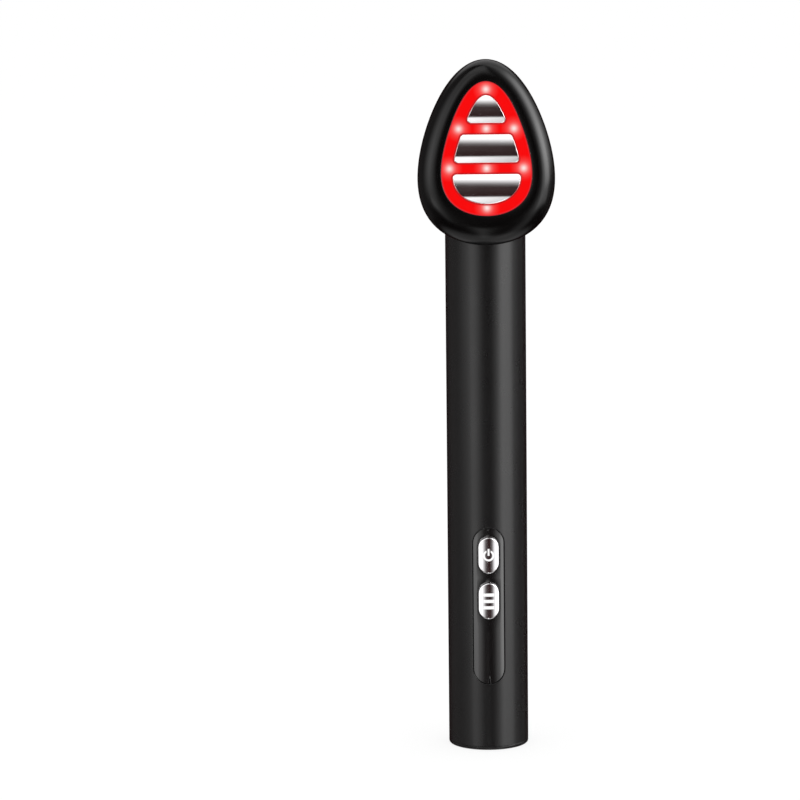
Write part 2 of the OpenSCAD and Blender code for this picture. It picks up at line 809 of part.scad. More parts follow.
module neck_cap() {
    web_z = tube_top + tube_wall;
    color([0.1, 0.1, 0.105]) difference() {
        union() {
            intersection() {
                union() {
                    translate([0, 0, tube_top]) cylinder(r = tube_r, h = dome_z - tube_top);
                    translate([0, 0, dome_z]) sphere(r = tube_r);
                }
                behind(-head_gap);
            }
            at_head() translate([0, 0, seat_back - past]) cylinder(r = boss_r, h = seat_t + past);
            translate([0, 0, spigot_bottom])
                cylinder(r = bore_r - fit_gap, h = spigot_l + tube_wall / 2);
        }
        intersection() {
            union() {
                translate([0, 0, web_z]) cylinder(r = bore_r, h = dome_z - web_z);
                translate([0, 0, dome_z]) sphere(r = bore_r);
            }
            behind(seat_back);
        }
        translate([0, 0, spigot_bottom - past])
            cylinder(r = bore_r - fit_gap - spigot_wall, h = spigot_l + tube_wall + 2 * past);
        at_head() translate([0, 0, seat_back - 2 * past]) cylinder(r = bush_r, h = far);
    }
}

module swivel_bush() {
    color([0.85, 0.83, 0.76]) at_head() translate([0, 0, seat_back])
        ring(bush_r - 0.02, axle_r + run_gap, seat_t);
}

module friction_washer() {
    color([0.9, 0.9, 0.9]) at_head() translate([0, 0, -head_gap])
        ring(boss_r - 0.5, axle_r + 0.3, washer_t);
}

module wave_washer() {
    color([0.62, 0.63, 0.65]) at_head() translate([0, 0, seat_back - wave_t])
        ring(bush_r + 0.8, axle_r + 0.15, wave_t);
}

module swivel_axle() {
    color([0.7, 0.71, 0.73]) at_head() difference() {
        union() {
            translate([0, 0, -axle_l]) cylinder(r = axle_r, h = axle_l + shell_floor + axle_flange_t);
            translate([0, 0, shell_floor]) cylinder(r = axle_flange_r, h = axle_flange_t);
        }
        translate([0, 0, -axle_l - past]) cylinder(r = axle_bore_r, h = axle_l + far);
        translate([0, 0, clip_top - clip_t - groove_play])
            ring(axle_r + past, axle_r - groove_d, clip_t + 2 * groove_play);
        at_axle_screws(0) cylinder(r = axle_screw_r + screw_gap, h = far, $fn = 32);
    }
}

module axle_screws() {
    color([0.55, 0.56, 0.58]) at_head() at_axle_screws(shell_floor + axle_flange_t)
        screw(axle_screw_l, axle_screw_r, axle_screw_head_r, axle_screw_head_t);
}

module retaining_clip() {
    clip_w = 2.4;
    mouth = 2;
    inner_r = axle_r - groove_d + 0.02;
    color([0.45, 0.46, 0.48]) at_head() translate([0, 0, clip_top - clip_t]) difference() {
        ring(inner_r + clip_w, inner_r, clip_t);
        translate([-mouth / 2, 0, -past]) cube([mouth, far, clip_t + 2 * past]);
    }
}

// The loom leaves the light board along the swivel's axis and runs down in front of the cell
module head_loom() {
    start = pivot + (led_plug_back - 0.3) * face_dir;
    bend = pivot - (axle_l + 1.6) * face_dir;
    color([0.12, 0.12, 0.13])
        wire([start, bend, [0, bend[1], head_z - head_rise / 2], [0, loom_spigot_y, tube_top],
            [0, loom_spigot_y, spigot_bottom], [0, loom_y, motor_z + 3], [0, loom_y, upper_shelf],
            [0, loom_y, cell_z + 2], [0, loom_y, cell_z], [0, loom_end_y, board_top + 0.5],
            [0, loom_end_y, board_top - plug_margin]], loom_r);
}

// Head shells
back_steps = 5;
module rear_body() {
    wall = shell_wall + fit_gap;
    curve = [for (i = [0:back_steps])
        let (a = 90 * i / back_steps)
        at_height(inset(head_outline, back_round * (1 - sin(a))), part_h * (1 - cos(a)))];
    lip = [[wall, part_h], [wall, part_h + shell_lip], [wall + shell_lip_t, part_h + shell_lip],
        [wall + shell_lip_t, shell_floor]];
    rest = [for (p = lip) at_height(inset(head_outline, p[0]), p[1])];
    loft(concat(curve, rest), false);
}

module head_rear_shell() {
    color([0.1, 0.1, 0.105]) at_head() difference() {
        union() {
            rear_body();
            at_posts(shell_floor - merge)
                cylinder(r = post_r, h = led_board_z - shell_floor + merge, $fn = 32);
        }
        translate([0, 0, -past]) cylinder(r = axle_r + fit_gap, h = far);
        at_posts(2 * blind_end) cylinder(r = screw_r + screw_gap, h = far, $fn = 32);
        at_axle_screws(blind_end) cylinder(r = axle_screw_r + screw_gap, h = far, $fn = 32);
    }
}

rim_steps = 7;
module head_front_shell() {
    rim = [for (i = [0:rim_steps])
        let (a = 90 * i / rim_steps)
        at_height(between(head_outline, opening_outline, rim_round * (1 - cos(a))),
            part_h + rim_rise * sin(a))];
    edge = [at_height(opening_outline, rim_top - rim_edge), at_height(opening_outline, lip_bottom)];
    pocket = [at_height(inset(window_outline, -flange_w - fit_gap), lip_bottom),
        at_height(inset(window_outline, -flange_w - fit_gap), window_back)];
    under = [at_height(inset(head_outline, shell_wall), part_h + shell_lip + 0.2),
        at_height(inset(head_outline, shell_wall), part_h)];
    color([0.1, 0.1, 0.105]) at_head() loft(concat(rim, edge, pocket, under), true);
}

// A plate is the part of the plates' teardrop between two heights, with a crown about X
module band(y0, y1) {
    offset(r = plate_corner, $fn = 32) offset(delta = -plate_corner) intersection() {
        polygon(plates_outline);
        translate([-far, y0]) square([2 * far, y1 - y0]);
    }
}

module plate_band(i) {
    if (i == 0) band(upper_edge, far);
    if (i == 1) band(window_y - plate_h / 2, window_y + plate_h / 2);
    if (i == 2) band(-far, lower_edge);
}

module plate(i) {
    top = window_front + rib_rise;
    color([0.9, 0.9, 0.91]) at_head() {
        intersection() {
            translate([0, 0, plate_base]) linear_extrude(height = pocket_t + rib_rise) plate_band(i);
            translate([-far, plate_mids[i], top - rib_r]) rotate([0, 90, 0])
                cylinder(r = rib_r, h = 2 * far, $fn = 128);
        }
        translate([0, plate_mids[i], foot_bottom])
            cylinder(r = foot_r, h = plate_base - foot_bottom + merge, $fn = 32);
    }
}

module upper_plate() {
    plate(0);
}

module middle_plate() {
    plate(1);
}

module lower_plate() {
    plate(2);
}

module light_window() {
    color([0.95, 0.05, 0.05]) at_head() difference() {
        union() {
            translate([0, 0, window_back]) linear_extrude(height = flange_t - 0.02)
                polygon(inset(window_outline, -flange_w));
            translate([0, 0, window_back]) linear_extrude(height = window_front - window_back)
                polygon(window_outline);
        }
        for (i = [0:2]) {
            translate([0, 0, plate_base]) linear_extrude(height = far)
                offset(delta = fit_gap) plate_band(i);
            translate([0, plate_mids[i], 0])
                cylinder(r = foot_r + screw_gap, h = far, $fn = 32);
        }
    }
}

module plate_contacts() {
    color([0.85, 0.7, 0.3]) at_head()
        for (y = plate_mids) translate([0, y, led_front])
            cylinder(r = pin_r, h = foot_bottom - led_front, $fn = 32);
}

module led_board() {
    wall = shell_wall + fit_gap + shell_lip_t + led_board_gap;
    color([0.93, 0.93, 0.92]) at_head() {
        difference() {
            translate([0, 0, led_board_z]) linear_extrude(height = led_board_t)
                polygon(inset(head_outline, wall));
            at_posts(0) cylinder(r = screw_r + screw_gap, h = far, $fn = 32);
        }
        translate([0, 0, led_plug_back])
            cylinder(r = led_plug_r, h = led_board_z - led_plug_back + merge, $fn = 32);
    }
}

led_spots = [
    [0, window_y + window_l / 2 - led_margin],
    [-led_upper_x, led_rows[0]], [0, led_rows[0]], [led_upper_x, led_rows[0]],
    [-led_lower_x, led_rows[1]], [0, led_rows[1]], [led_lower_x, led_rows[1]],
    [0, window_y - window_l / 2 + led_margin]
];

module leds() {
    color([1, 0.75, 0.7]) at_head()
        for (p = led_spots) translate([p[0] - led_w / 2, p[1] - led_w / 2, led_front])
            cube([led_w, led_w, led_t]);
}

module led_screws() {
    color([0.55, 0.56, 0.58]) at_head() at_posts(led_front) screw(led_screw_l);
}

handle_tube();
base_cap();
base_screws();
chassis();
main_board();
board_parts();
usb_socket();
usb_tongue();
power_switch();
mode_switch();
battery_cell();
battery_contacts();
battery_lead();
control_panel();
power_button();
power_plunger();
power_mark();
mode_button();
mode_plunger();
mode_mark();
vibration_motor();
motor_shaft();
eccentric_weight();
motor_lead();
neck_cap();
swivel_bush();
friction_washer();
wave_washer();
swivel_axle();
axle_screws();
retaining_clip();
head_loom();
head_rear_shell();
head_front_shell();
light_window();
upper_plate();
middle_plate();
lower_plate();
plate_contacts();
led_board();
leds();
led_screws();
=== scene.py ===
import json
import math

import bmesh
import bpy
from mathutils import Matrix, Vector
from mathutils.geometry import tessellate_polygon


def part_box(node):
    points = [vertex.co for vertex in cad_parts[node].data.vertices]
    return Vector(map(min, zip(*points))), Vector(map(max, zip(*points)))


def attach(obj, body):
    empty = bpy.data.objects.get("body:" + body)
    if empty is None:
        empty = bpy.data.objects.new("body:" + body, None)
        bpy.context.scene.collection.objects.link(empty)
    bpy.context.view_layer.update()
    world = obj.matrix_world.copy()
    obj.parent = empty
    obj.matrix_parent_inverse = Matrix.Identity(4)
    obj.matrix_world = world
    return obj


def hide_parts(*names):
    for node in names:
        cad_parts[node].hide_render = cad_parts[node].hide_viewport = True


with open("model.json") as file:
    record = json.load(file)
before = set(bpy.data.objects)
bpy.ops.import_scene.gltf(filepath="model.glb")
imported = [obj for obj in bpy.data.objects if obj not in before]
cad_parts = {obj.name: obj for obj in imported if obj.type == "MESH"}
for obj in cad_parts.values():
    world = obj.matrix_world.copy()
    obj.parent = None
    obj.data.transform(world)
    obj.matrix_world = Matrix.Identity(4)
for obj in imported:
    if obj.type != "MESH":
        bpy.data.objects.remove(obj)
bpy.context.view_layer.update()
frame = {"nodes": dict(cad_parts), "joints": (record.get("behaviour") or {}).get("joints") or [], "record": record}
nodes = frame["nodes"]
mm = 0.001
print("frame loaded:", len(nodes), "nodes")

# The tube and the swivel give the sizes that every piece here starts from, in millimetres
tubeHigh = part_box("handle_tube")[1] / mm
tubeRadius = tubeHigh.x
tubeTop = tubeHigh.z
swivel = next(joint for joint in frame["joints"] if joint["name"] == "head_swivel")
pivot = Vector(swivel["pos_m"]) / mm
faceDir = Vector(swivel["axis"]).normalized()
sideDir = Vector((1, 0, 0))
upDir = faceDir.cross(sideDir)


def addObject(name, data):
    thing = bpy.data.objects.new(name, data)
    bpy.context.scene.collection.objects.link(thing)
    return thing


# Camera at the height and distance that the photo was taken from
camera = {
    "place": (-0.029434, -1.1, 0.272973),
    "turn": (80.665, 0.591, -0.449),  # pitch, roll and pan in degrees
    "lens": 191.078,
    "sensor": 36,
    "reach": 50,  # farthest distance seen, in metres
}
cameraData = bpy.data.cameras.new("camera")
cameraData.lens = camera["lens"]
cameraData.sensor_width = camera["sensor"]
cameraData.clip_end = camera["reach"]
cameraObject = addObject("camera", cameraData)
cameraObject.location = camera["place"]
cameraObject.rotation_euler = [math.radians(a) for a in camera["turn"]]
bpy.context.scene.camera = cameraObject
print("camera in place")


# Shader helpers
def addNode(tree, kind, **settings):
    node = tree.nodes.new(kind)
    for name, value in settings.items():
        setattr(node, name, value)
    return node


def setInputs(node, values):
    for label, value in values.items():
        node.inputs[label].default_value = value


# Gives a socket a number, a colour or what another node puts out
def feed(tree, value, socket):
    if isinstance(value, (int, float)):
        socket.default_value = value
    elif isinstance(value, tuple):
        socket.default_value = (*value, 1)
    else:
        tree.links.new(value, socket)


def newMaterial(name):
    material = bpy.data.materials.new(name)
    material.use_nodes = True
    return material, material.node_tree, material.node_tree.nodes["Principled BSDF"]


def newGroup(name, inputs, outputs):
    group = bpy.data.node_groups.new(name, "ShaderNodeTree")
    for label, kind in inputs:
        group.interface.new_socket(name=label, in_out="INPUT", socket_type=kind)
    for label, kind in outputs:
        group.interface.new_socket(name=label, in_out="OUTPUT", socket_type=kind)
    return group, addNode(group, "NodeGroupInput"), addNode(group, "NodeGroupOutput")


# Number sockets for a group
def numbers(*labels):
    return [(label, "NodeSocketFloat") for label in labels]


def noise(tree, place, scale, detail=2.0, roughness=0.5):
    node = addNode(tree, "ShaderNodeTexNoise")
    setInputs(node, {"Detail": detail, "Roughness": roughness})
    tree.links.new(place, node.inputs["Vector"])
    feed(tree, scale, node.inputs["Scale"])
    return node.outputs["Fac"]


# Takes the range in which a noise usually lies to another range
def spread(tree, value, low, high, fromLow=0.3, fromHigh=0.7):
    node = addNode(tree, "ShaderNodeMapRange")
    tree.links.new(value, node.inputs["Value"])
    setInputs(node, {"From Min": fromLow, "From Max": fromHigh, "To Min": low, "To Max": high})
    return node.outputs["Result"]


def maths(tree, operation, a, b=0.0):
    node = addNode(tree, "ShaderNodeMath", operation=operation)
    feed(tree, a, node.inputs[0])
    feed(tree, b, node.inputs[1])
    return node.outputs["Value"]


# Noise behind the finishes: scale, detail and roughness
surfaceNoise = {
    "clouds": (60.0, 3.0),
    "patches": (140.0, 4.0),
    "smudges": (180.0, 4.0, 0.6),
    "smudgeStart": 0.4,  # noise level at which a smudge begins
    "lineDetail": 3.0,
    "lineStretch": (0.03, 1.0, 1.0),
}


# What both kinds of surface are given and give back
def newSurface(name):
    group, given, out = newGroup(
        name,
        [("Color", "NodeSocketColor"), *numbers("Tint", "Roughness", "Uneven", "Grain Scale")],
        [("Color", "NodeSocketColor"), *numbers("Roughness", "Height")],
    )
    return group, given, out, addNode(group, "ShaderNodeTexCoord").outputs["Object"]


def addTintAndGloss(group, given, out, tintNoise, glossSpread):
    tint = maths(group, "MULTIPLY", spread(group, tintNoise, -1.0, 1.0), given.outputs["Tint"])
    shade = addNode(group, "ShaderNodeHueSaturation")
    group.links.new(given.outputs["Color"], shade.inputs["Color"])
    group.links.new(maths(group, "ADD", tint, 1.0), shade.inputs["Value"])
    group.links.new(shade.outputs["Color"], out.inputs["Color"])
    uneven = maths(group, "MULTIPLY", glossSpread, given.outputs["Uneven"])
    group.links.new(maths(group, "ADD", given.outputs["Roughness"], uneven), out.inputs["Roughness"])


# Moulded plastic: cloudy tint, slightly uneven gloss and the fine grain of the tool's surface
def makeMouldedGroup():
    group, given, out, place = newSurface("mouldedSurface")
    clouds = noise(group, place, *surfaceNoise["clouds"])
    patches = noise(group, place, *surfaceNoise["patches"])
    addTintAndGloss(group, given, out, clouds, spread(group, patches, -1.0, 1.0))
    group.links.new(noise(group, place, given.outputs["Grain Scale"]), out.inputs["Height"])
    return group


# Metal: faint smudges in the gloss and hair lines along one direction
def makeMetalGroup():
    group, given, out, place = newSurface("metalSurface")
    smudges = noise(group, place, *surfaceNoise["smudges"])
    dulled = spread(group, smudges, 0.0, 1.0, surfaceNoise["smudgeStart"])
    addTintAndGloss(group, given, out, smudges, dulled)
    stretch = addNode(group, "ShaderNodeMapping")
    setInputs(stretch, {"Scale": surfaceNoise["lineStretch"]})
    group.links.new(place, stretch.inputs["Vector"])
    lines = noise(group, stretch.outputs["Vector"], given.outputs["Grain Scale"], surfaceNoise["lineDetail"])
    group.links.new(lines, out.inputs["Height"])
    return group


# One finish for each material slot of the record: colour, tint, roughness and how much it varies,
# scale of the grain or hair lines, and their depth in mm
plastics = {
    "handle_black": ((0.005, 0.005, 0.0051), 0.12, 0.28, 0.012, 2600, 0.001),
    "head_black": ((0.0012, 0.0012, 0.0012), 0.12, 0.2, 0.012, 2600, 0.001),
    "panel_black": ((0.004, 0.004, 0.0041), 0.1, 0.16, 0.01, 3400, 0.0004),
    "cap_black": ((0.012, 0.012, 0.0125), 0.15, 0.5, 0.04, 1800, 0.006),
    "mark_white": ((0.93, 0.93, 0.93), 0.01, 0.35, 0.02, 4000, 0.001),
    "chassis_white": ((0.8, 0.8, 0.78), 0.04, 0.45, 0.05, 1500, 0.006),
    "board_green": ((0.02, 0.14, 0.05), 0.2, 0.3, 0.08, 1200, 0.004),
    "board_white": ((0.85, 0.85, 0.84), 0.03, 0.35, 0.05, 1500, 0.004),
    "chip_black": ((0.018, 0.018, 0.02), 0.2, 0.55, 0.06, 2500, 0.008),
    "led_clear": ((0.9, 0.6, 0.55), 0.05, 0.15, 0.03, 2000, 0.001),
    "cell_blue": ((0.05, 0.16, 0.45), 0.1, 0.3, 0.06, 900, 0.004),
    "wire_red": ((0.5, 0.02, 0.015), 0.12, 0.4, 0.05, 1500, 0.004),
    "wire_black": ((0.02, 0.02, 0.022), 0.15, 0.45, 0.05, 1500, 0.004),
    "acetal": ((0.8, 0.78, 0.7), 0.05, 0.35, 0.04, 1500, 0.002),
    "plunger_cream": ((0.6, 0.56, 0.42), 0.08, 0.5, 0.05, 1500, 0.003),
}
metals = {
    "polished_chrome": ((0.93, 0.93, 0.94), 0.01, 0.09, 0.02, 2200, 0.0002),
    "steel": ((0.56, 0.56, 0.57), 0.08, 0.28, 0.12, 1500, 0.003),
    "contact_brass": ((0.75, 0.55, 0.22), 0.1, 0.25, 0.12, 1800, 0.002),
}
usualGloss = 0.5
gloss = {"head_black": 0.3, "panel_black": 0.87}  # where it isn't the usual one


def makeFinish(slot, surfaceGroup, metallic, color, tint, roughness, uneven, scale, relief):
    material, tree, shader = newMaterial(slot)
    setInputs(shader, {"Metallic": metallic, "Specular IOR Level": gloss.get(slot, usualGloss)})
    surface = addNode(tree, "ShaderNodeGroup", node_tree=surfaceGroup)
    setInputs(surface, {"Color": (*color, 1), "Tint": tint, "Roughness": roughness})
    setInputs(surface, {"Uneven": uneven, "Grain Scale": scale})
    bump = addNode(tree, "ShaderNodeBump")
    setInputs(bump, {"Strength": 1.0, "Distance": relief * mm})
    tree.links.new(surface.outputs["Color"], shader.inputs["Base Color"])
    tree.links.new(surface.outputs["Roughness"], shader.inputs["Roughness"])
    tree.links.new(surface.outputs["Height"], bump.inputs["Height"])
    tree.links.new(bump.outputs["Normal"], shader.inputs["Normal"])
    return material


mouldedGroup = makeMouldedGroup()
metalGroup = makeMetalGroup()
materials = {slot: makeFinish(slot, mouldedGroup, 0.0, *finish) for slot, finish in plastics.items()}
materials |= {slot: makeFinish(slot, metalGroup, 1.0, *finish) for slot, finish in metals.items()}
print("materials made:", len(materials))


# Lit window: red all over, with a white-hot core and a soft glow over each light behind it, a painted highlight
# along its outer edge and painted shade round each plate
windowGlow = {
    "red": (0.945, 0.0006, 0.0012),
    "hot": (1.0, 0.86, 0.83),
    # radius of a light's core and length over which its halo fades, in mm, their shares of white,
    # and the level at which the halo ends
    "spot": {"Core Radius": 0.885, "Core Share": 0.616, "Halo Fade": 1.15, "Halo Share": 0.38,
             "Halo Cut": 0.019},
    "lights": [(-9.5, -4.225), (0, -4.225), (9.5, -4.225), (-7.1, 5.925), (0, 5.925), (7.1, 5.925),
               (0, 16.0), (0, -14.3)],
    # painted light along an edge, and its share: a painted highlight on the window's outer edge and painted shade
    # round each plate's pocket
    "edges": {"pocketEdge": ((0.5, 0.012, 0.014), 0.85), "outerEdge": ((0.67, 0.028, 0.04), 0.7)},
    "cloudScale": 900.0,
    "cloudLow": 0.97,  # share of the glow left where the faint clouds are darkest
    "bodyColor": (0.01, 0.0005, 0.0005),
    "roughness": 0.4,
    "gloss": 0.08,
}


# How much of a light's core and halo reaches a place on the head, given across and towards the tip
def makeSpotGroup():
    labels = ("Across", "Up", "Spot Across", "Spot Up", *windowGlow["spot"])
    group, given, out = newGroup("lightSpot", numbers(*labels), numbers("Mask"))
    give = given.outputs
    offX = maths(group, "SUBTRACT", give["Across"], give["Spot Across"])
    offY = maths(group, "SUBTRACT", give["Up"], give["Spot Up"])
    square = maths(group, "ADD", maths(group, "MULTIPLY", offX, offX), maths(group, "MULTIPLY", offY, offY))
    coreSquare = maths(group, "MULTIPLY", give["Core Radius"], give["Core Radius"])
    coreFall = maths(group, "MULTIPLY", maths(group, "DIVIDE", square, coreSquare), -1.0)
    core = maths(group, "MULTIPLY", maths(group, "EXPONENT", coreFall), give["Core Share"])
    distance = maths(group, "SQRT", square)
    haloFall = maths(group, "MULTIPLY", maths(group, "DIVIDE", distance, give["Halo Fade"]), -1.0)
    halo = maths(group, "MULTIPLY", maths(group, "EXPONENT", haloFall), give["Halo Share"])
    halo = maths(group, "MAXIMUM", maths(group, "SUBTRACT", halo, give["Halo Cut"]), 0.0)
    group.links.new(maths(group, "ADD", core, halo), out.inputs["Mask"])
    return group


def blendColors(tree, share, low, high):
    node = addNode(tree, "ShaderNodeMix", data_type="RGBA")
    tree.links.new(share, node.inputs["Factor"])
    feed(tree, low, node.inputs["A"])
    feed(tree, high, node.inputs["B"])
    return node.outputs["Result"]


# Distance in mm from the pivot of the head along one of its own directions
def alongHead(tree, place, direction):
    off = addNode(tree, "ShaderNodeVectorMath", operation="SUBTRACT")
    tree.links.new(place, off.inputs[0])
    off.inputs[1].default_value = pivot * mm
    dot = addNode(tree, "ShaderNodeVectorMath", operation="DOT_PRODUCT")
    tree.links.new(off.outputs["Vector"], dot.inputs[0])
    dot.inputs[1].default_value = direction / mm
    return dot.outputs["Value"]


def makeWindowFinish():
    spotGroup = makeSpotGroup()
    material, tree, shader = newMaterial("red_window")
    place = addNode(tree, "ShaderNodeTexCoord").outputs["Object"]
    across, up = alongHead(tree, place, sideDir), alongHead(tree, place, upDir)
    total = 0.0
    for spotAcross, spotUp in windowGlow["lights"]:
        spot = addNode(tree, "ShaderNodeGroup", node_tree=spotGroup)
        tree.links.new(across, spot.inputs["Across"])
        tree.links.new(up, spot.inputs["Up"])
        setInputs(spot, {"Spot Across": spotAcross, "Spot Up": spotUp, **windowGlow["spot"]})
        total = maths(tree, "ADD", total, spot.outputs["Mask"])
    lit = blendColors(tree, total, windowGlow["red"], windowGlow["hot"])
    # painted highlight along the window's outer edge and painted shade round each plate, laid over the glow
    for edge, (color, share) in windowGlow["edges"].items():
        mask = addNode(tree, "ShaderNodeAttribute", attribute_name=edge)
        lit = blendColors(tree, maths(tree, "MULTIPLY", mask.outputs["Fac"], share), lit, color)
    cloud = spread(tree, noise(tree, place, windowGlow["cloudScale"]), windowGlow["cloudLow"], 1.0)
    mottle = addNode(tree, "ShaderNodeHueSaturation")
    tree.links.new(cloud, mottle.inputs["Value"])
    tree.links.new(lit, mottle.inputs["Color"])
    tree.links.new(mottle.outputs["Color"], shader.inputs["Emission Color"])
    setInputs(shader, {"Emission Strength": 1.0, "Base Color": (*windowGlow["bodyColor"], 1)})
    setInputs(shader, {"Roughness": windowGlow["roughness"], "Specular IOR Level": windowGlow["gloss"]})
    return material


materials["red_window"] = makeWindowFinish()
print("window lit")


# Studio: a tent of light that only reflections see, a card beside the head and three soft lamps
studio = {
    "tentRadius": 3.0,
    "tentHeight": 0.12,
    "tentSegments": (48, 24),
    "tentShade": (0.027, 0.012, 0.012),
    # soft panels of the tent: centre, half sizes and soft edges in degrees, and strength
    "panels": {
        "rightMain": ((58, 0), (20, 18), (5, 3), 2.1),
        "rightInner": ((40, -7), (16, 4), (19, 12), 1.4),
        "rightOuter": ((91, 0), (13, 20), (4, 20), 0.34),
        "rightUpper": ((77, 29), (21, 18), (21, 15), 5.49),
        "rightHigh": ((79, 50), (39, 44), (30, 9), 1.7),
        "rightLow": ((35, -36), (11, 36), (7, 17), 0.57),
        "rightFar": ((121, -4), (3, 27), (10, 5), 0.26),
        "leftMain": ((-46, 12), (20, 12), (30, 27), 3.6),
        "leftInner": ((-25, -14), (3, 11), (13, 3), 0.98),
        "leftLow": ((-40, -12), (10, 4), (3, 3), 1.5),
        "leftFar": ((-98, 11), (30, 50), (30, 3), 0.18),
        "leftHigh": ((-20, 28), (8, 13), (5, 3), 0.67),
        "leftCrown": ((-29, 63), (32, 22), (2, 19), 1.54),
        "topBack": ((180, 66), (56, 34), (12, 8), 1.2),
        "stripUp": ((5, 62), (3, 34), (2, 16), 1.0),
        "stripDown": ((-1, -42), (3, 23), (2, 3), 1.6),
        "under": ((-4, -79), (159, 24), (12, 9), 0.8),
    },
    # near card: where it stands from the head's pivot, and its half size and soft edge, in metres
    "card": {"azimuth": 69, "distance": 0.35, "rise": 0.06, "half": (0.103, 0.081), "soft": (0.01, 0.01),
             "strength": 2.8},
    "worldLevel": 1.0,
    # lamps: place and size in metres, and power
    "lamps": {
        "keyLamp": ((0.5, -0.7, 0.75), 0.5, 0.7),
        "fillLamp": ((-0.7, -0.5, 0.55), 0.6, 0.5),
        "topLamp": ((0.1, 0.1, 1.3), 0.8, 2.0),
    },
    "aim": (0, 0, 0.1),
    "floorHalf": 6.0,
    "floorRoughness": 0.9,
    "floorWhite": 0.8,  # share of the floor's look that no shadow reaches
}


# Soft-edged rectangle: 1 inside, 0 outside, from the distances to its centre
def makePanelGroup():
    labels = [part + way for part in ("", "Half ", "Soft ") for way in ("Across", "Up")]
    group, given, out = newGroup("softPanel", numbers(*labels), numbers("Mask"))
    masks = []
    for way in ("Across", "Up"):
        half, soft = given.outputs["Half " + way], given.outputs["Soft " + way]
        ramp = addNode(group, "ShaderNodeMapRange", interpolation_type="SMOOTHSTEP")
        setInputs(ramp, {"To Min": 1, "To Max": 0})
        group.links.new(maths(group, "ABSOLUTE", given.outputs[way]), ramp.inputs["Value"])
        group.links.new(maths(group, "SUBTRACT", half, soft), ramp.inputs["From Min"])
        group.links.new(maths(group, "ADD", half, soft), ramp.inputs["From Max"])
        masks.append(ramp.outputs["Result"])
    group.links.new(maths(group, "MULTIPLY", *masks), out.inputs["Mask"])
    return group


def softMask(tree, group, across, up, half, soft, name):
    mask = addNode(tree, "ShaderNodeGroup", node_tree=group, label=name)
    tree.links.new(across, mask.inputs["Across"])
    tree.links.new(up, mask.inputs["Up"])
    for way, size, edge in zip(("Across", "Up"), half, soft):
        setInputs(mask, {"Half " + way: size, "Soft " + way: edge})
    return mask.outputs["Mask"]


# Angle between a direction and a centre, the short way round
def turnFrom(tree, angle, centre):
    off = maths(tree, "ABSOLUTE", maths(tree, "SUBTRACT", angle, centre))
    return maths(tree, "MINIMUM", off, maths(tree, "SUBTRACT", 360.0, off))


def makeGlow(name):
    material, tree, shader = newMaterial(name)
    tree.nodes.remove(shader)
    material.cycles.emission_sampling = "NONE"
    return material, tree, addNode(tree, "ShaderNodeEmission")


# Light that is seen in reflections only
def stageLight(name, mesh, material):
    mesh.materials.append(material)
    light = addObject(name, mesh)
    light.visible_camera = False
    light.visible_diffuse = False
    light.visible_shadow = False
    return light


def makeTent(panelGroup):
    material, tree, glow = makeGlow("tentCloth")
    split = addNode(tree, "ShaderNodeSeparateXYZ")
    tree.links.new(addNode(tree, "ShaderNodeTexCoord").outputs["Object"], split.inputs["Vector"])
    x, y, z = split.outputs
    azimuth = maths(tree, "DEGREES", maths(tree, "ARCTAN2", x, maths(tree, "MULTIPLY", y, -1.0)))
    square = maths(tree, "ADD", maths(tree, "MULTIPLY", x, x), maths(tree, "MULTIPLY", y, y))
    elevation = maths(tree, "DEGREES", maths(tree, "ARCTAN2", z, maths(tree, "SQRT", square)))
    total = 0.0
    for name, (centre, half, soft, strength) in studio["panels"].items():
        across = turnFrom(tree, azimuth, centre[0])
        up = maths(tree, "SUBTRACT", elevation, centre[1])
        mask = softMask(tree, panelGroup, across, up, half, soft, name)
        total = maths(tree, "ADD", total, maths(tree, "MULTIPLY", mask, strength))
    shaded = addNode(tree, "ShaderNodeVectorMath", operation="ADD")
    tree.links.new(total, shaded.inputs[0])
    shaded.inputs[1].default_value = studio["tentShade"]
    tree.links.new(shaded.outputs["Vector"], glow.inputs["Color"])
    tree.links.new(glow.outputs["Emission"], tree.nodes["Material Output"].inputs["Surface"])
    mesh = bpy.data.meshes.new("lightTent")
    shell = bmesh.new()
    columns, rows = studio["tentSegments"]
    bmesh.ops.create_uvsphere(shell, u_segments=columns, v_segments=rows, radius=studio["tentRadius"])
    shell.to_mesh(mesh)
    shell.free()
    tent = stageLight("lightTent", mesh, material)
    tent.location = (0, 0, studio["tentHeight"])


def flatSheet(name, wide, high):
    mesh = bpy.data.meshes.new(name)
    corners = [(-wide, -high, 0), (wide, -high, 0), (wide, high, 0), (-wide, high, 0)]
    mesh.from_pydata(corners, [], [(0, 1, 2, 3)])
    return mesh


# The card lights the side of the head but stands too high for the handle
def makeCard(panelGroup):
    card = studio["card"]
    material, tree, glow = makeGlow("cardLight")
    split = addNode(tree, "ShaderNodeSeparateXYZ")
    tree.links.new(addNode(tree, "ShaderNodeTexCoord").outputs["Object"], split.inputs["Vector"])
    x, y, z = split.outputs
    mask = softMask(tree, panelGroup, x, y, card["half"], card["soft"], "card")
    tree.links.new(maths(tree, "MULTIPLY", mask, card["strength"]), glow.inputs["Color"])
    clear = addNode(tree, "ShaderNodeBsdfTransparent")
    both = addNode(tree, "ShaderNodeAddShader")
    tree.links.new(clear.outputs["BSDF"], both.inputs[0])
    tree.links.new(glow.outputs["Emission"], both.inputs[1])
    tree.links.new(both.outputs["Shader"], tree.nodes["Material Output"].inputs["Surface"])
    wide, high = [half + soft for half, soft in zip(card["half"], card["soft"])]
    light = stageLight("headCard", flatSheet("headCard", wide, high), material)
    turn = math.radians(card["azimuth"])
    light.location = pivot * mm + Vector((math.sin(turn), -math.cos(turn), 0)) * card["distance"]
    light.location.z += card["rise"]
    light.rotation_euler = (math.radians(90), 0, turn)


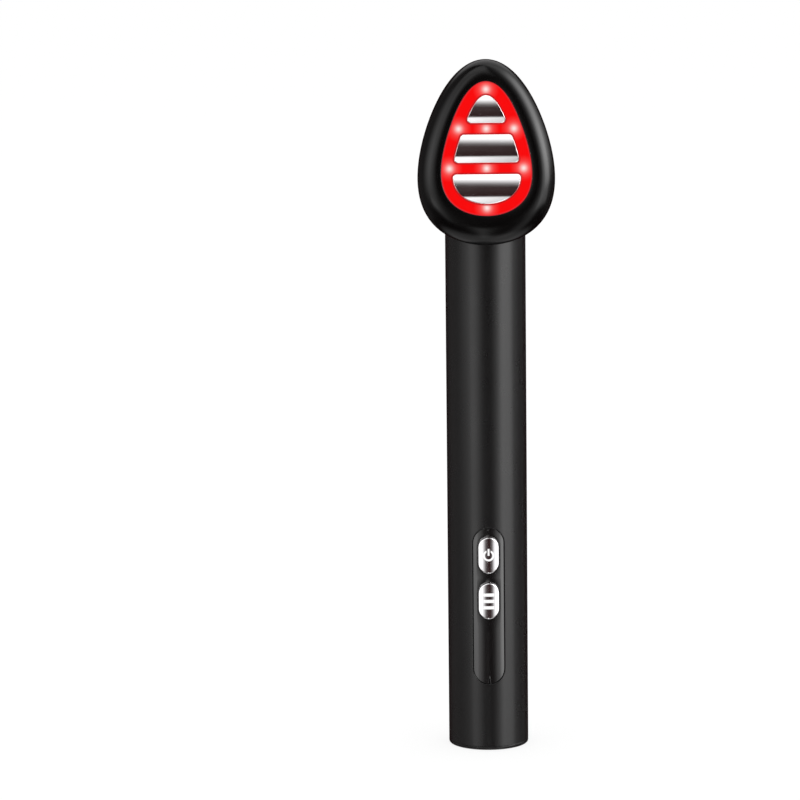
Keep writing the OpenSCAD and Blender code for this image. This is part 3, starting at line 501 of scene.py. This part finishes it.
def makeWorld():
    world = bpy.data.worlds.new("studioWorld")
    bpy.context.scene.world = world
    world.use_nodes = True
    world.cycles.sampling_method = "NONE"
    setInputs(world.node_tree.nodes["Background"], {"Color": (1, 1, 1, 1), "Strength": studio["worldLevel"]})


def makeLamps():
    for name, (place, size, power) in studio["lamps"].items():
        data = bpy.data.lights.new(name, "AREA")
        data.shape = "DISK"
        data.size = size
        data.energy = power
        lamp = addObject(name, data)
        lamp.location = place
        lamp.rotation_euler = (Vector(studio["aim"]) - lamp.location).to_track_quat("-Z", "Y").to_euler()
        lamp.visible_glossy = False


def makeFloor():
    material, tree, shader = newMaterial("floorPaper")
    setInputs(shader, {"Base Color": (1, 1, 1, 1), "Roughness": studio["floorRoughness"]})
    setInputs(shader, {"Specular IOR Level": 0.0})
    glow = addNode(tree, "ShaderNodeEmission")
    mix = addNode(tree, "ShaderNodeMixShader")
    seen = addNode(tree, "ShaderNodeLightPath").outputs["Is Camera Ray"]
    tree.links.new(maths(tree, "MULTIPLY", seen, studio["floorWhite"]), mix.inputs["Fac"])
    tree.links.new(shader.outputs["BSDF"], mix.inputs[1])
    tree.links.new(glow.outputs["Emission"], mix.inputs[2])
    tree.links.new(mix.outputs["Shader"], tree.nodes["Material Output"].inputs["Surface"])
    mesh = flatSheet("floor", studio["floorHalf"], studio["floorHalf"])
    mesh.materials.append(material)
    floor = addObject("floor", mesh)
    floor.visible_glossy = False


softPanel = makePanelGroup()
makeTent(softPanel)
makeCard(softPanel)
makeWorld()
makeLamps()
makeFloor()
bpy.context.scene.view_settings.view_transform = "Standard"
print("studio ready")


# Meshes are built in millimetres and turned into metres here; painted holds values for the points
meshing = {
    "weld": 1e-7,  # points this near to each other, in metres, become one
    "sharpAngle": 32,
}


def newPiece(name, points, faces, body, slot, replaced, painted=None):
    mesh = bpy.data.meshes.new(name)
    mesh.from_pydata([tuple(c * mm for c in p) for p in points], [], faces)
    for label, values in (painted or {}).items():
        mesh.attributes.new(label, "FLOAT", "POINT").data.foreach_set("value", values)
    shell = bmesh.new()
    shell.from_mesh(mesh)
    bmesh.ops.remove_doubles(shell, verts=shell.verts, dist=meshing["weld"])
    bmesh.ops.recalc_face_normals(shell, faces=shell.faces)
    shell.to_mesh(mesh)
    shell.free()
    mesh.shade_smooth()
    mesh.set_sharp_from_angle(angle=math.radians(meshing["sharpAngle"]))
    mesh.materials.append(materials[slot])
    piece = addObject(name, mesh)
    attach(piece, body)
    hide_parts(replaced)


# Skin between closed rings of equal length; with loop=True the last ring joins the first
def loft(rings, loop=False, closeStart=False, closeEnd=False):
    count = len(rings[0])
    points = [p for ring in rings for p in ring]
    faces = []
    for r in range(len(rings) if loop else len(rings) - 1):
        here, there = r * count, ((r + 1) % len(rings)) * count
        for i in range(count):
            k = (i + 1) % count
            faces.append((here + i, here + k, there + k, there + i))
    if closeStart:
        faces.append(tuple(range(count))[::-1])
    if closeEnd:
        faces.append(tuple(range((len(rings) - 1) * count, len(rings) * count)))
    return points, faces


# Puts several (points, faces) pairs into one
def joined(*parts):
    points, faces = [], []
    for partPoints, partFaces in parts:
        start = len(points)
        points += partPoints
        faces += [tuple(i + start for i in face) for face in partFaces]
    return points, faces


def steps(first, last, count):
    return [first + (last - first) * i / count for i in range(count + 1)]


def sine(degrees):
    return math.sin(math.radians(degrees))


def cosine(degrees):
    return math.cos(math.radians(degrees))


# Rounded edge from a top over to a side: how far in from the side and down from the top each step lies
def quarterRound(depth, count):
    return [(depth * (1 - sine(a)), depth * (1 - cosine(a))) for a in steps(0, 90, count)]


# Head outlines: a teardrop, clockwise from the tip
outlineCount = 216


def teardrop(size):
    angles = [360 * i / outlineCount for i in range(outlineCount)]
    widths = [sine(a) * (1 - size["taper"] * cosine(a) + size["full"] * cosine(a) ** 2) for a in angles]
    across, along = size["width"] / 2 / max(widths), size["length"] / 2
    return [(across * w, size["centreY"] + along * cosine(a)) for w, a in zip(widths, angles)]


def inset(outline, depth):
    moved = []
    for i, point in enumerate(outline):
        after, before = outline[(i + 1) % len(outline)], outline[i - 1]
        tx, ty = after[0] - before[0], after[1] - before[1]
        size = math.hypot(tx, ty)
        moved.append((point[0] + depth * ty / size, point[1] - depth * tx / size))
    return moved


def between(a, b, share):
    return [(p[0] + (q[0] - p[0]) * share, p[1] + (q[1] - p[1]) * share) for p, q in zip(a, b)]


def circle(radius, x=0.0, y=0.0, count=outlineCount):
    turns = [360 * i / count for i in range(count)]
    return [(x + radius * sine(a), y + radius * cosine(a)) for a in turns]


# From the head's own frame, across, towards the tip and out of the face, to the row frame
def onHead(outline, height):
    heights = height if isinstance(height, list) else [height] * len(outline)
    return [tuple(pivot + p[0] * sideDir + p[1] * upDir + h * faceDir) for p, h in zip(outline, heights)]


head = {
    "length": 47.8,
    "width": 35.4,
    "centreY": 0,
    "taper": 0.269,
    "full": 0.098,
    "partHeight": 4.4,
    "rimRise": 4.8,
    "rimRound": 0.8,  # share of the rim's width that curves up from the side
    "crest": (0.9, 0.02),  # share of the rim's width and drop of the ring near the window
    "backRound": 3.2,
    "backRings": (0, 0.5, 0.95),  # shares of the way from the axle's hole to the rounded edge
    "shellWall": 1.6,
    "floor": 2.0,
    "lip": 1.2,
    "lipWall": 0.8,
    "lipGap": 0.2,
    "shellGap": 0.05,
    "seam": 0.12,  # rounding at the line where the two shells meet
    "seamSteps": 3,
    "edgeRound": 0.18,  # rounding beside the window
    "edgeDrop": 0.06,
    "edgeSteps": 4,
    "axleHole": 4.6,
    "steps": 26,
    "postRadius": 1.6,
    "postHole": 0.85,
    "postTop": 4.2,
    "postSink": 0.1,
    "postInset": 5.6,
    "postAngles": (60, 110, 250, 300),
    "postCount": 36,
}
windowSize = {
    "length": 34.3,
    "width": 23.2,
    "centreY": 0.85,
    "taper": 0.368,
    "full": 0.158,
    "front": 8.7,
    "thickness": 1.2,
    "flange": 0.9,
    "flangeThickness": 0.8,
    "flangeDrop": 0.02,
    "gap": 0.05,
    "edgeRound": 0.12,
    "edgeSteps": 4,
    "edgeLine": 0.18,  # width of the painted highlight line round the window
    "lineFade": 0.1,
}
headOutline = teardrop(head)
windowOutline = teardrop(windowSize)
openingOutline = inset(windowOutline, -windowSize["gap"])
lipBottom = windowSize["front"] - windowSize["thickness"]
windowBack = lipBottom - windowSize["flangeThickness"]


def makeFrontShell():
    part, rise = head["partHeight"], head["rimRise"]
    top = part + rise
    rings = []
    for inward, up in quarterRound(head["seam"], head["seamSteps"]):
        rings.append(onHead(inset(headOutline, inward), part + up))
    for a in steps(0, 90, head["steps"])[1:]:
        share = head["rimRound"] * (1 - cosine(a))
        rings.append(onHead(between(headOutline, openingOutline, share), part + rise * sine(a)))
    share, drop = head["crest"]
    rings.append(onHead(between(headOutline, openingOutline, share), top - drop))
    for outward, down in quarterRound(head["edgeRound"], head["edgeSteps"]):
        rings.append(onHead(inset(openingOutline, -outward), top - head["edgeDrop"] - down))
    pocket = inset(windowOutline, -windowSize["flange"] - windowSize["gap"])
    inner = inset(headOutline, head["shellWall"])
    rings += [onHead(openingOutline, lipBottom), onHead(pocket, lipBottom), onHead(pocket, windowBack)]
    rings += [onHead(inner, part + head["lip"] + head["lipGap"]), onHead(inner, part)]
    newPiece("frontShell", *loft(rings, loop=True), "head", "head_black", "head_front_shell")


def makeRearShell():
    part, seam, floor = head["partHeight"], head["seam"], head["floor"]
    hole, back = circle(head["axleHole"]), inset(headOutline, head["backRound"])
    rings = [onHead(between(hole, back, share), 0) for share in head["backRings"]]
    for a in steps(0, 90, head["steps"]):
        depth = head["backRound"] * (1 - sine(a))
        rings.append(onHead(inset(headOutline, depth), (part - seam) * (1 - cosine(a))))
    for a in steps(0, 90, head["seamSteps"])[1:]:
        rings.append(onHead(inset(headOutline, seam * (1 - cosine(a))), part - seam + seam * sine(a)))
    outer = inset(headOutline, head["shellWall"] + head["shellGap"])
    inner = inset(headOutline, head["shellWall"] + head["shellGap"] + head["lipWall"])
    lipTop = part + head["lip"]
    rings += [onHead(outer, part), onHead(outer, lipTop), onHead(inner, lipTop), onHead(inner, floor)]
    rings += [onHead(between(hole, inner, 0.5), floor), onHead(hole, floor)]
    postLine = inset(headOutline, head["postInset"])
    foot, top = floor - head["postSink"], head["postTop"]
    posts = []
    for angle in head["postAngles"]:
        x, y = postLine[angle * outlineCount // 360]
        wall, bore = [circle(head[size], x, y, head["postCount"]) for size in ("postRadius", "postHole")]
        sides = [onHead(wall, foot), onHead(wall, top), onHead(bore, top), onHead(bore, foot)]
        posts.append(loft(sides, loop=True))
    points, faces = joined(loft(rings, loop=True), *posts)
    newPiece("rearShell", points, faces, "head", "head_black", "head_rear_shell")


makeFrontShell()
makeRearShell()
print("head shells made")


# The three plates are bands of one teardrop, each crowned about the head's X direction
plates = {
    "length": 27.8,
    "width": 17.5,
    "centreY": 0.6,
    "taper": 0.52,
    "full": 0.2,
    "cornerRadius": 0.9,
    "turnStep": 7.5,  # most degrees between two points of a corner
    "tipGap": 0.01,
    "bands": {"upper": (7.4, 15.0), "middle": (-2.75, 4.45), "lower": (-15.0, -5.7)},
    "edgeHeight": 0.2,
    "crown": 0.8,
    "crownRadius": 8.5,
    "edgeRound": 0.08,
    "edgeSteps": 5,
    "edgeLoop": 0.12,
    "pocketDepth": 0.3,
    "pocketRound": 0.15,
    "footRadius": 0.8,
    "footReach": 0.3,
    "ringInside": 0.32,  # width of the painted shade line round each plate, and where it has faded
    "ringOutside": 0.52,
}
platesOutline = teardrop(plates)
plateBase = windowSize["front"] - plates["pocketDepth"]


# Right-hand side of a plate from top to bottom: centres of its corner discs and their outward directions
def plateSide(low, high):
    radius = plates["cornerRadius"]
    half = inset(platesOutline, radius)[:outlineCount // 2 + 1]
    chain = [p for p in half if p[0] > 0]
    chain = [(0.0, chain[0][1] + plates["tipGap"])] + chain + [(0.0, half[-1][1])]
    low, high = low + radius, high - radius
    clipped = []
    for p, q in zip(chain, chain[1:]):
        for bound in (high, low):
            if (p[1] - bound) * (q[1] - bound) < 0:
                share = (p[1] - bound) / (p[1] - q[1])
                clipped.append((p[0] + (q[0] - p[0]) * share, bound))
        if low < q[1] < high:
            clipped.append(q)
    if chain[0][1] < high:
        clipped.insert(0, chain[0])
    turns = [90.0]
    for p, q in zip(clipped, clipped[1:]):
        turns.append(math.degrees(math.atan2(q[0] - p[0], p[1] - q[1])))
    turns.append(-90.0)
    side = []
    for p, before, after in zip(clipped, turns, turns[1:]):
        count = max(1, math.ceil((before - after) / plates["turnStep"]))
        spots = steps(before, after, count) if count > 1 else [(before + after) / 2]
        side += [(p[0], p[1], cosine(turn), sine(turn)) for turn in spots]
    return side


def plateLoop(side, radius):
    right = [(x + radius * nx, y + radius * ny) for x, y, nx, ny in side]
    return right + [(-x, y) for x, y in right[::-1]]


# A circle with one point in the direction of each point of an outline
def circleToward(outline, radius, centreY):
    spots = []
    for x, y in outline:
        size = math.hypot(x, y - centreY)
        spots.append((radius * x / size, centreY + radius * (y - centreY) / size))
    return spots


plateSides = {name: plateSide(*band) for name, band in plates["bands"].items()}
plateMiddles = {}
for plateName, sideSpots in plateSides.items():
    border = [y for x, y in plateLoop(sideSpots, plates["cornerRadius"])]
    plateMiddles[plateName] = (max(border) + min(border)) / 2


def makePlate(name):
    side, middle = plateSides[name], plateMiddles[name]
    corner, edge, crownRadius = plates["cornerRadius"], plates["edgeRound"], plates["crownRadius"]
    top = windowSize["front"] + plates["edgeHeight"] + plates["crown"]

    def crowned(loop):
        return [top - crownRadius + math.sqrt(crownRadius ** 2 - (y - middle) ** 2) for x, y in loop]

    # the first ring keeps the rounded edge out of the shading of the face
    inner, face = plateLoop(side, corner - edge - plates["edgeLoop"]), plateLoop(side, corner - edge)
    heights = crowned(face)
    rings = [onHead(inner, crowned(inner))]
    for inward, down in quarterRound(edge, plates["edgeSteps"]):
        rings.append(onHead(plateLoop(side, corner - inward), [h - down for h in heights]))
    border = plateLoop(side, corner)
    foot = circleToward(border, plates["footRadius"], middle)
    rings += [onHead(border, plateBase), onHead(foot, plateBase)]
    rings.append(onHead(foot, windowBack - plates["footReach"]))
    points, faces = loft(rings, closeEnd=True)
    count = len(face)
    faces += [(i, i + 1, count - 2 - i, count - 1 - i) for i in range(len(side) - 1)]
    newPiece(name + "Plate", points, faces, "head", "polished_chrome", name + "_plate")


for plateName in plates["bands"]:
    makePlate(plateName)
print("plates made")


# A flat skin with holes, for outlines that lie in one plane of the head
def flatOnHead(outlines, height):
    spots = [p for outline in outlines for p in outline]
    faces = tessellate_polygon([[Vector((*p, 0)) for p in outline] for outline in outlines])
    return onHead(spots, height), [tuple(face) for face in faces]


def makeWindow():
    front, corner, gap = windowSize["front"], plates["cornerRadius"], windowSize["gap"]
    parts, painted = [], {"outerEdge": [], "pocketEdge": []}

    # values holds one value for each ring of the part, painted as the named edge; other edges get 0
    def add(part, values=(0,), edge=None):
        parts.append(part)
        share = len(part[0]) // len(values)
        for label, spots in painted.items():
            spots.extend(v if label == edge else 0 for v in values for _ in range(share))

    # front face and its outer edge, which carries the painted highlight line
    fadeLoops = [plateLoop(side, corner + plates["ringOutside"]) for side in plateSides.values()]
    faceLoop = inset(windowOutline, windowSize["edgeLine"] + windowSize["lineFade"])
    add(flatOnHead([faceLoop, *fadeLoops], front))
    rings = [onHead(faceLoop, front), onHead(inset(windowOutline, windowSize["edgeLine"]), front)]
    for inward, down in quarterRound(windowSize["edgeRound"], windowSize["edgeSteps"]):
        rings.append(onHead(inset(windowOutline, inward), front - down))
    values = [0] + [1] * (len(rings) - 1) + [0] * 3
    flangeTop = lipBottom - windowSize["flangeDrop"]
    flange = inset(windowOutline, -windowSize["flange"])
    rings += [onHead(windowOutline, flangeTop), onHead(flange, flangeTop), onHead(flange, windowBack)]
    add(loft(rings), values, "outerEdge")
    # a pocket for each plate, with a hole for its foot and a ring of painted shade round it
    holes = []
    for name, side in plateSides.items():
        lines = [plateLoop(side, corner + plates[size]) for size in ("ringOutside", "ringInside")]
        rings = [onHead(loop, front) for loop in lines]
        for outward, down in quarterRound(plates["pocketRound"], windowSize["edgeSteps"]):
            rings.append(onHead(plateLoop(side, corner + gap + outward), front - down))
        border = plateLoop(side, corner + gap)
        hole = circleToward(border, plates["footRadius"] + gap, plateMiddles[name])
        rings += [onHead(border, plateBase), onHead(hole, plateBase), onHead(hole, windowBack)]
        add(loft(rings), [0] + [1] * (len(rings) - 1), "pocketEdge")
        holes.append(hole)
    add(flatOnHead([flange, *holes], windowBack))
    newPiece("lightWindow", *joined(*parts), "head", "red_window", "light_window", painted)


makeWindow()
print("window made")


# Upright pill seen from the front, clockwise, with grow added all round; its points keep their order
pill = {"arcSteps": 18, "sideRows": 8}


def pillLoop(width, length, grow=0.0):
    radius, half = width / 2 + grow, (length - width) / 2
    turns, rows = steps(-90, 90, pill["arcSteps"]), steps(half, -half, pill["sideRows"])
    top = [(radius * sine(t), half + radius * cosine(t)) for t in turns]
    right = [(radius, z) for z in rows[1:-1]]
    bottom = [(-x, -z) for x, z in top]
    left = [(-x, -z) for x, z in right]
    return top + right + bottom + left


# On a cylinder round the handle's axis, its front towards -Y
def onFront(outline, centreZ, radius):
    return [(x, -math.sqrt(radius ** 2 - x ** 2), centreZ + z) for x, z in outline]


handle = {
    "bore": 8.9,
    "topChamfer": 0.12,
    "footRound": 0.6,
    "footSteps": 7,
    "grooveHeight": 0.95,  # fine groove above the foot
    "grooveDepth": 0.1,
    "lowRow": 1.3,
    "panelCentre": 38.7,
    "recess": (8.3, 41.9),
    "ledgeRadius": 9.55,
    "slot": (6.7, 40.3),
    "recessRound": 0.15,
    "recessSteps": 4,
    "sideColumns": 88,
    "endRows": 6,
    "edgeRow": 0.25,  # rows and columns close to the recess keep its rounding out of the shading
    "edgeColumn": 1.2,
}


# Columns of a round wall with a pill-shaped hole at its front, as angles from there, the hole's first
def wallAngles(radius, holeRadius):
    hole = [math.degrees(math.asin(holeRadius * sine(t) / radius)) for t in steps(-90, 90, pill["arcSteps"])]
    start, end = hole[-1] + handle["edgeColumn"], 360 + hole[0] - handle["edgeColumn"]
    return hole + steps(start, end, handle["sideColumns"])


def wallRing(angles, radius, z):
    return [(radius * sine(a), -radius * cosine(a), z) for a in angles]


def roundWall(radius, hole, grow, low, high):
    width, length = hole
    holeRadius, half, middle = width / 2 + grow, (length - width) / 2, handle["panelCentre"]
    angles, arc = wallAngles(radius, holeRadius), pill["arcSteps"]
    lowRings = [[] for _ in range(handle["endRows"] + 1)]
    highRings = [[] for _ in range(handle["endRows"] + 1)]
    sideRings = [[] for _ in range(pill["sideRows"] + 1)]
    sideHeights = steps(middle - half, middle + half, pill["sideRows"])
    for i, a in enumerate(angles):
        x = radius * sine(a)
        reach = half + (math.sqrt(max(holeRadius ** 2 - x ** 2, 0)) if i <= arc else 0)
        lowRows = steps(low, middle - reach - handle["edgeRow"], handle["endRows"] - 1) + [middle - reach]
        highRows = [middle + reach] + steps(middle + reach + handle["edgeRow"], high, handle["endRows"] - 1)
        for ring, z in zip(lowRings + highRings + sideRings, lowRows + highRows + sideHeights):
            ring.append((x, -radius * cosine(a), z))
    points, faces = loft(sideRings)
    faces = [face for i, face in enumerate(faces) if i % len(angles) >= arc]
    used = sorted({i for face in faces for i in face})
    place = {old: new for new, old in enumerate(used)}
    sides = [points[i] for i in used], [tuple(place[i] for i in face) for face in faces]
    return angles, joined(loft(lowRings), sides, loft(highRings))


def makeTube():
    bore, fillet, middle = handle["bore"], handle["recessRound"], handle["panelCentre"]
    chamfer, groove, depth = handle["topChamfer"], handle["grooveHeight"], handle["grooveDepth"]
    recess, slot = handle["recess"], handle["slot"]
    outerAngles, outer = roundWall(tubeRadius, recess, fillet, handle["lowRow"], tubeTop - chamfer)
    innerAngles, inner = roundWall(bore, slot, 0, 0, tubeTop)
    rim = loft([wallRing(outerAngles, tubeRadius, tubeTop - chamfer),
                wallRing(outerAngles, tubeRadius - chamfer, tubeTop), wallRing(innerAngles, bore, tubeTop)])
    profile = [(tubeRadius, handle["lowRow"]), (tubeRadius, groove + depth), (tubeRadius - depth, groove),
               (tubeRadius, groove - depth)]
    footEdge = quarterRound(handle["footRound"], handle["footSteps"])
    profile += [(tubeRadius - inward, z) for z, inward in footEdge]
    base = loft([wallRing(outerAngles, r, z) for r, z in profile] + [wallRing(innerAngles, bore, 0)])
    rings = []
    for outward, down in quarterRound(fillet, handle["recessSteps"]):
        rings.append(onFront(pillLoop(*recess, outward), middle, tubeRadius - down))
    for hole, radius in ((recess, handle["ledgeRadius"]), (slot, handle["ledgeRadius"]), (slot, bore)):
        rings.append(onFront(pillLoop(*hole), middle, radius))
    points, faces = joined(outer, inner, rim, base, loft(rings))
    newPiece("handleTube", points, faces, "handle", "handle_black", "handle_tube")


makeTube()
print("handle tube made")


panel = {
    "size": (8.2, 41.8),
    "front": 10.15,
    "back": 9.56,
    "edgeRound": 0.14,
    "edgeSteps": 4,
    "holeGap": 0.18,
    "holeRound": 0.1,
    "holeSteps": 3,
    "flankSteps": 9,
    # rows of faces below, beside, between, beside and above the buttons
    "rows": (5, pill["sideRows"], 2, pill["sideRows"], 3),
    "margin": 1e-6,  # a column this near to a hole's side lies beside it
    "buttonHeights": {"power": 52.35, "mode": 40.15},
}
button = {
    "size": (5.4, 9.6),
    "front": 10.75,
    "crownRadius": 6.4,
    "edgeRound": 0.28,
    "edgeSteps": 6,
    "edgeLoop": 0.15,
    "flange": 0.45,
    "flangeFront": 9.45,
    "flangeBack": 8.85,
    "stemRadius": 1.2,
    "stemStart": 8.55,
    "stemEnd": 7.2,
}


# Panel skin at one radius: upright strips between the ends of the panel and the two button holes
def panelSkin(radius, inward):
    width, length = panel["size"]
    holeWidth, holeLength = [size + 2 * panel["holeGap"] for size in button["size"]]
    holeRadius, half = holeWidth / 2 + inward, (holeLength - holeWidth) / 2
    outerRadius, outerHalf = width / 2 - inward, (length - width) / 2
    columns = [holeRadius * sine(t) for t in steps(-90, 90, pill["arcSteps"])]
    edge = math.degrees(math.asin(holeRadius / outerRadius))
    flank = [outerRadius * sine(t) for t in steps(edge, 90, panel["flankSteps"])][1:]
    columns = [-x for x in flank[::-1]] + columns + flank
    low, high = sorted(z - handle["panelCentre"] for z in panel["buttonHeights"].values())
    strips = []
    for x in columns:
        reach = outerHalf + math.sqrt(max(outerRadius ** 2 - x ** 2, 0))
        opening = half + math.sqrt(max(holeRadius ** 2 - x ** 2, 0))
        inHole = abs(x) < holeRadius - panel["margin"]
        heights = [-reach, low - opening, low + opening, high - opening, high + opening, reach]
        strips.append((x, inHole, heights))
    points, faces = [], []
    for (x0, leftInHole, left), (x1, rightInHole, right) in zip(strips, strips[1:]):
        for band, count in enumerate(panel["rows"]):
            if band % 2 and (leftInHole or rightInHole):
                continue
            start = len(points)
            rows = zip(steps(left[band], left[band + 1], count), steps(right[band], right[band + 1], count))
            spots = [p for z0, z1 in rows for p in ((x0, z0), (x1, z1))]
            points += onFront(spots, handle["panelCentre"], radius)
            faces += [(i, i + 1, i + 3, i + 2) for i in range(start, start + 2 * count, 2)]
    return points, faces


def makePanel():
    front, back, middle = panel["front"], panel["back"], handle["panelCentre"]
    size, edge, holeEdge = panel["size"], panel["edgeRound"], panel["holeRound"]
    rings = []
    for inward, down in quarterRound(edge, panel["edgeSteps"]):
        rings.append(onFront(pillLoop(*size, -inward), middle, front - down))
    rings.append(onFront(pillLoop(*size), middle, back))
    parts = [panelSkin(front, edge), panelSkin(back, 0), loft(rings)]
    # holes for the buttons, their rounding as wide as the panel's own but less deep
    for z in panel["buttonHeights"].values():
        rings = []
        for a in steps(0, 90, panel["holeSteps"]):
            loop = pillLoop(*button["size"], panel["holeGap"] + edge * (1 - sine(a)))
            rings.append(onFront(loop, z, front - holeEdge * (1 - cosine(a))))
        rings.append(onFront(pillLoop(*button["size"], panel["holeGap"]), z, back))
        parts.append(loft(rings))
    newPiece("controlPanel", *joined(*parts), "handle", "panel_black", "control_panel")


# Depth of the crowned face of a button at a distance across it
def crownDepth(x, proud=0.0):
    radius = button["crownRadius"]
    return radius - button["front"] - math.sqrt((radius + proud) ** 2 - x ** 2)


def makeButton(name):
    centre, edge, size = panel["buttonHeights"][name], button["edgeRound"], button["size"]
    inner, face = pillLoop(*size, -edge - button["edgeLoop"]), pillLoop(*size, -edge)
    depths = [crownDepth(x) for x, z in face]
    rings = [[(x, crownDepth(x), centre + z) for x, z in inner]]
    for inward, down in quarterRound(edge, button["edgeSteps"]):
        loop = pillLoop(*size, -inward)
        rings.append([(x, depth + down, centre + z) for (x, z), depth in zip(loop, depths)])
    border, flange = pillLoop(*size), pillLoop(*size, button["flange"])
    for loop, radius in ((border, "flangeFront"), (flange, "flangeFront"), (flange, "flangeBack")):
        rings.append(onFront(loop, centre, button[radius]))
    turns = steps(-90, 270, len(border))[:-1]
    stem = [(button["stemRadius"] * sine(t), button["stemRadius"] * cosine(t)) for t in turns]
    for depth in (button["stemStart"], button["stemEnd"]):
        rings.append([(x, -depth, centre + z) for x, z in stem])
    points, faces = loft(rings, closeEnd=True)
    # face between the two arcs of the pill, in strips across it
    arc, count = pill["arcSteps"], len(face)
    low = arc + pill["sideRows"]
    faces += [(i, i + 1, low + arc - i - 1, low + arc - i) for i in range(1, arc - 1)]
    faces.append(tuple(range(arc - 1, low + 2)))
    faces.append((1, 0, *range(count - 1, low + arc - 2, -1)))
    newPiece(name + "Button", points, faces, name + "_key", "polished_chrome", name + "_button")


inlays = {
    "proud": 0.03,
    "depth": 0.2,
    "ringRadius": 1.48,
    "ringGap": 1.1,
    "ringSteps": 48,
    "line": 0.5,
    "stemTop": 1.83,
    "stemSteps": 3,
    "barWidth": 2.9,
    "barHeight": 0.84,
    "barPitch": 1.7,
    "barSteps": 14,
}


# White inlay in a button's face between two rows of points, given across and up from the button's centre
def inlay(first, second, centre):
    rings = []
    for a, b in zip(first, second):
        ring = [(x, crownDepth(x, inlays["proud"]), centre + z) for x, z in (a, b)]
        ring += [(x, crownDepth(x) + inlays["depth"], centre + z) for x, z in (b, a)]
        rings.append(ring)
    return loft(rings, closeStart=True, closeEnd=True)


def flatBar(width, low, high, centre, count):
    columns = steps(-width / 2, width / 2, count)
    return inlay([(x, high) for x in columns], [(x, low) for x in columns], centre)


def makePowerMark():
    centre = panel["buttonHeights"]["power"]
    edges = []
    for radius in (inlays["ringRadius"], inlays["ringRadius"] - inlays["line"]):
        gap = math.degrees(math.asin(inlays["ringGap"] / 2 / radius))
        turns = steps(gap, 360 - gap, inlays["ringSteps"])
        edges.append([(radius * sine(t), radius * cosine(t)) for t in turns])
    stem = flatBar(inlays["line"], 0, inlays["stemTop"], centre, inlays["stemSteps"])
    newPiece("powerMark", *joined(inlay(*edges, centre), stem), "power_key", "mark_white", "power_mark")


def makeModeMark():
    centre, half = panel["buttonHeights"]["mode"], inlays["barHeight"] / 2
    bars = []
    for z in (-inlays["barPitch"], 0, inlays["barPitch"]):
        bars.append(flatBar(inlays["barWidth"], z - half, z + half, centre, inlays["barSteps"]))
    newPiece("modeMark", *joined(*bars), "mode_key", "mark_white", "mode_mark")


makePanel()
for buttonName in panel["buttonHeights"]:
    makeButton(buttonName)
makePowerMark()
makeModeMark()
print("panel, buttons and marks made")


# CAD nodes that keep their shape get their slot's material
for part in frame["record"]["subparts"]:
    node = nodes[part["node"]]
    node.data.materials.clear()
    node.data.materials.append(materials[part["material_slot"]])
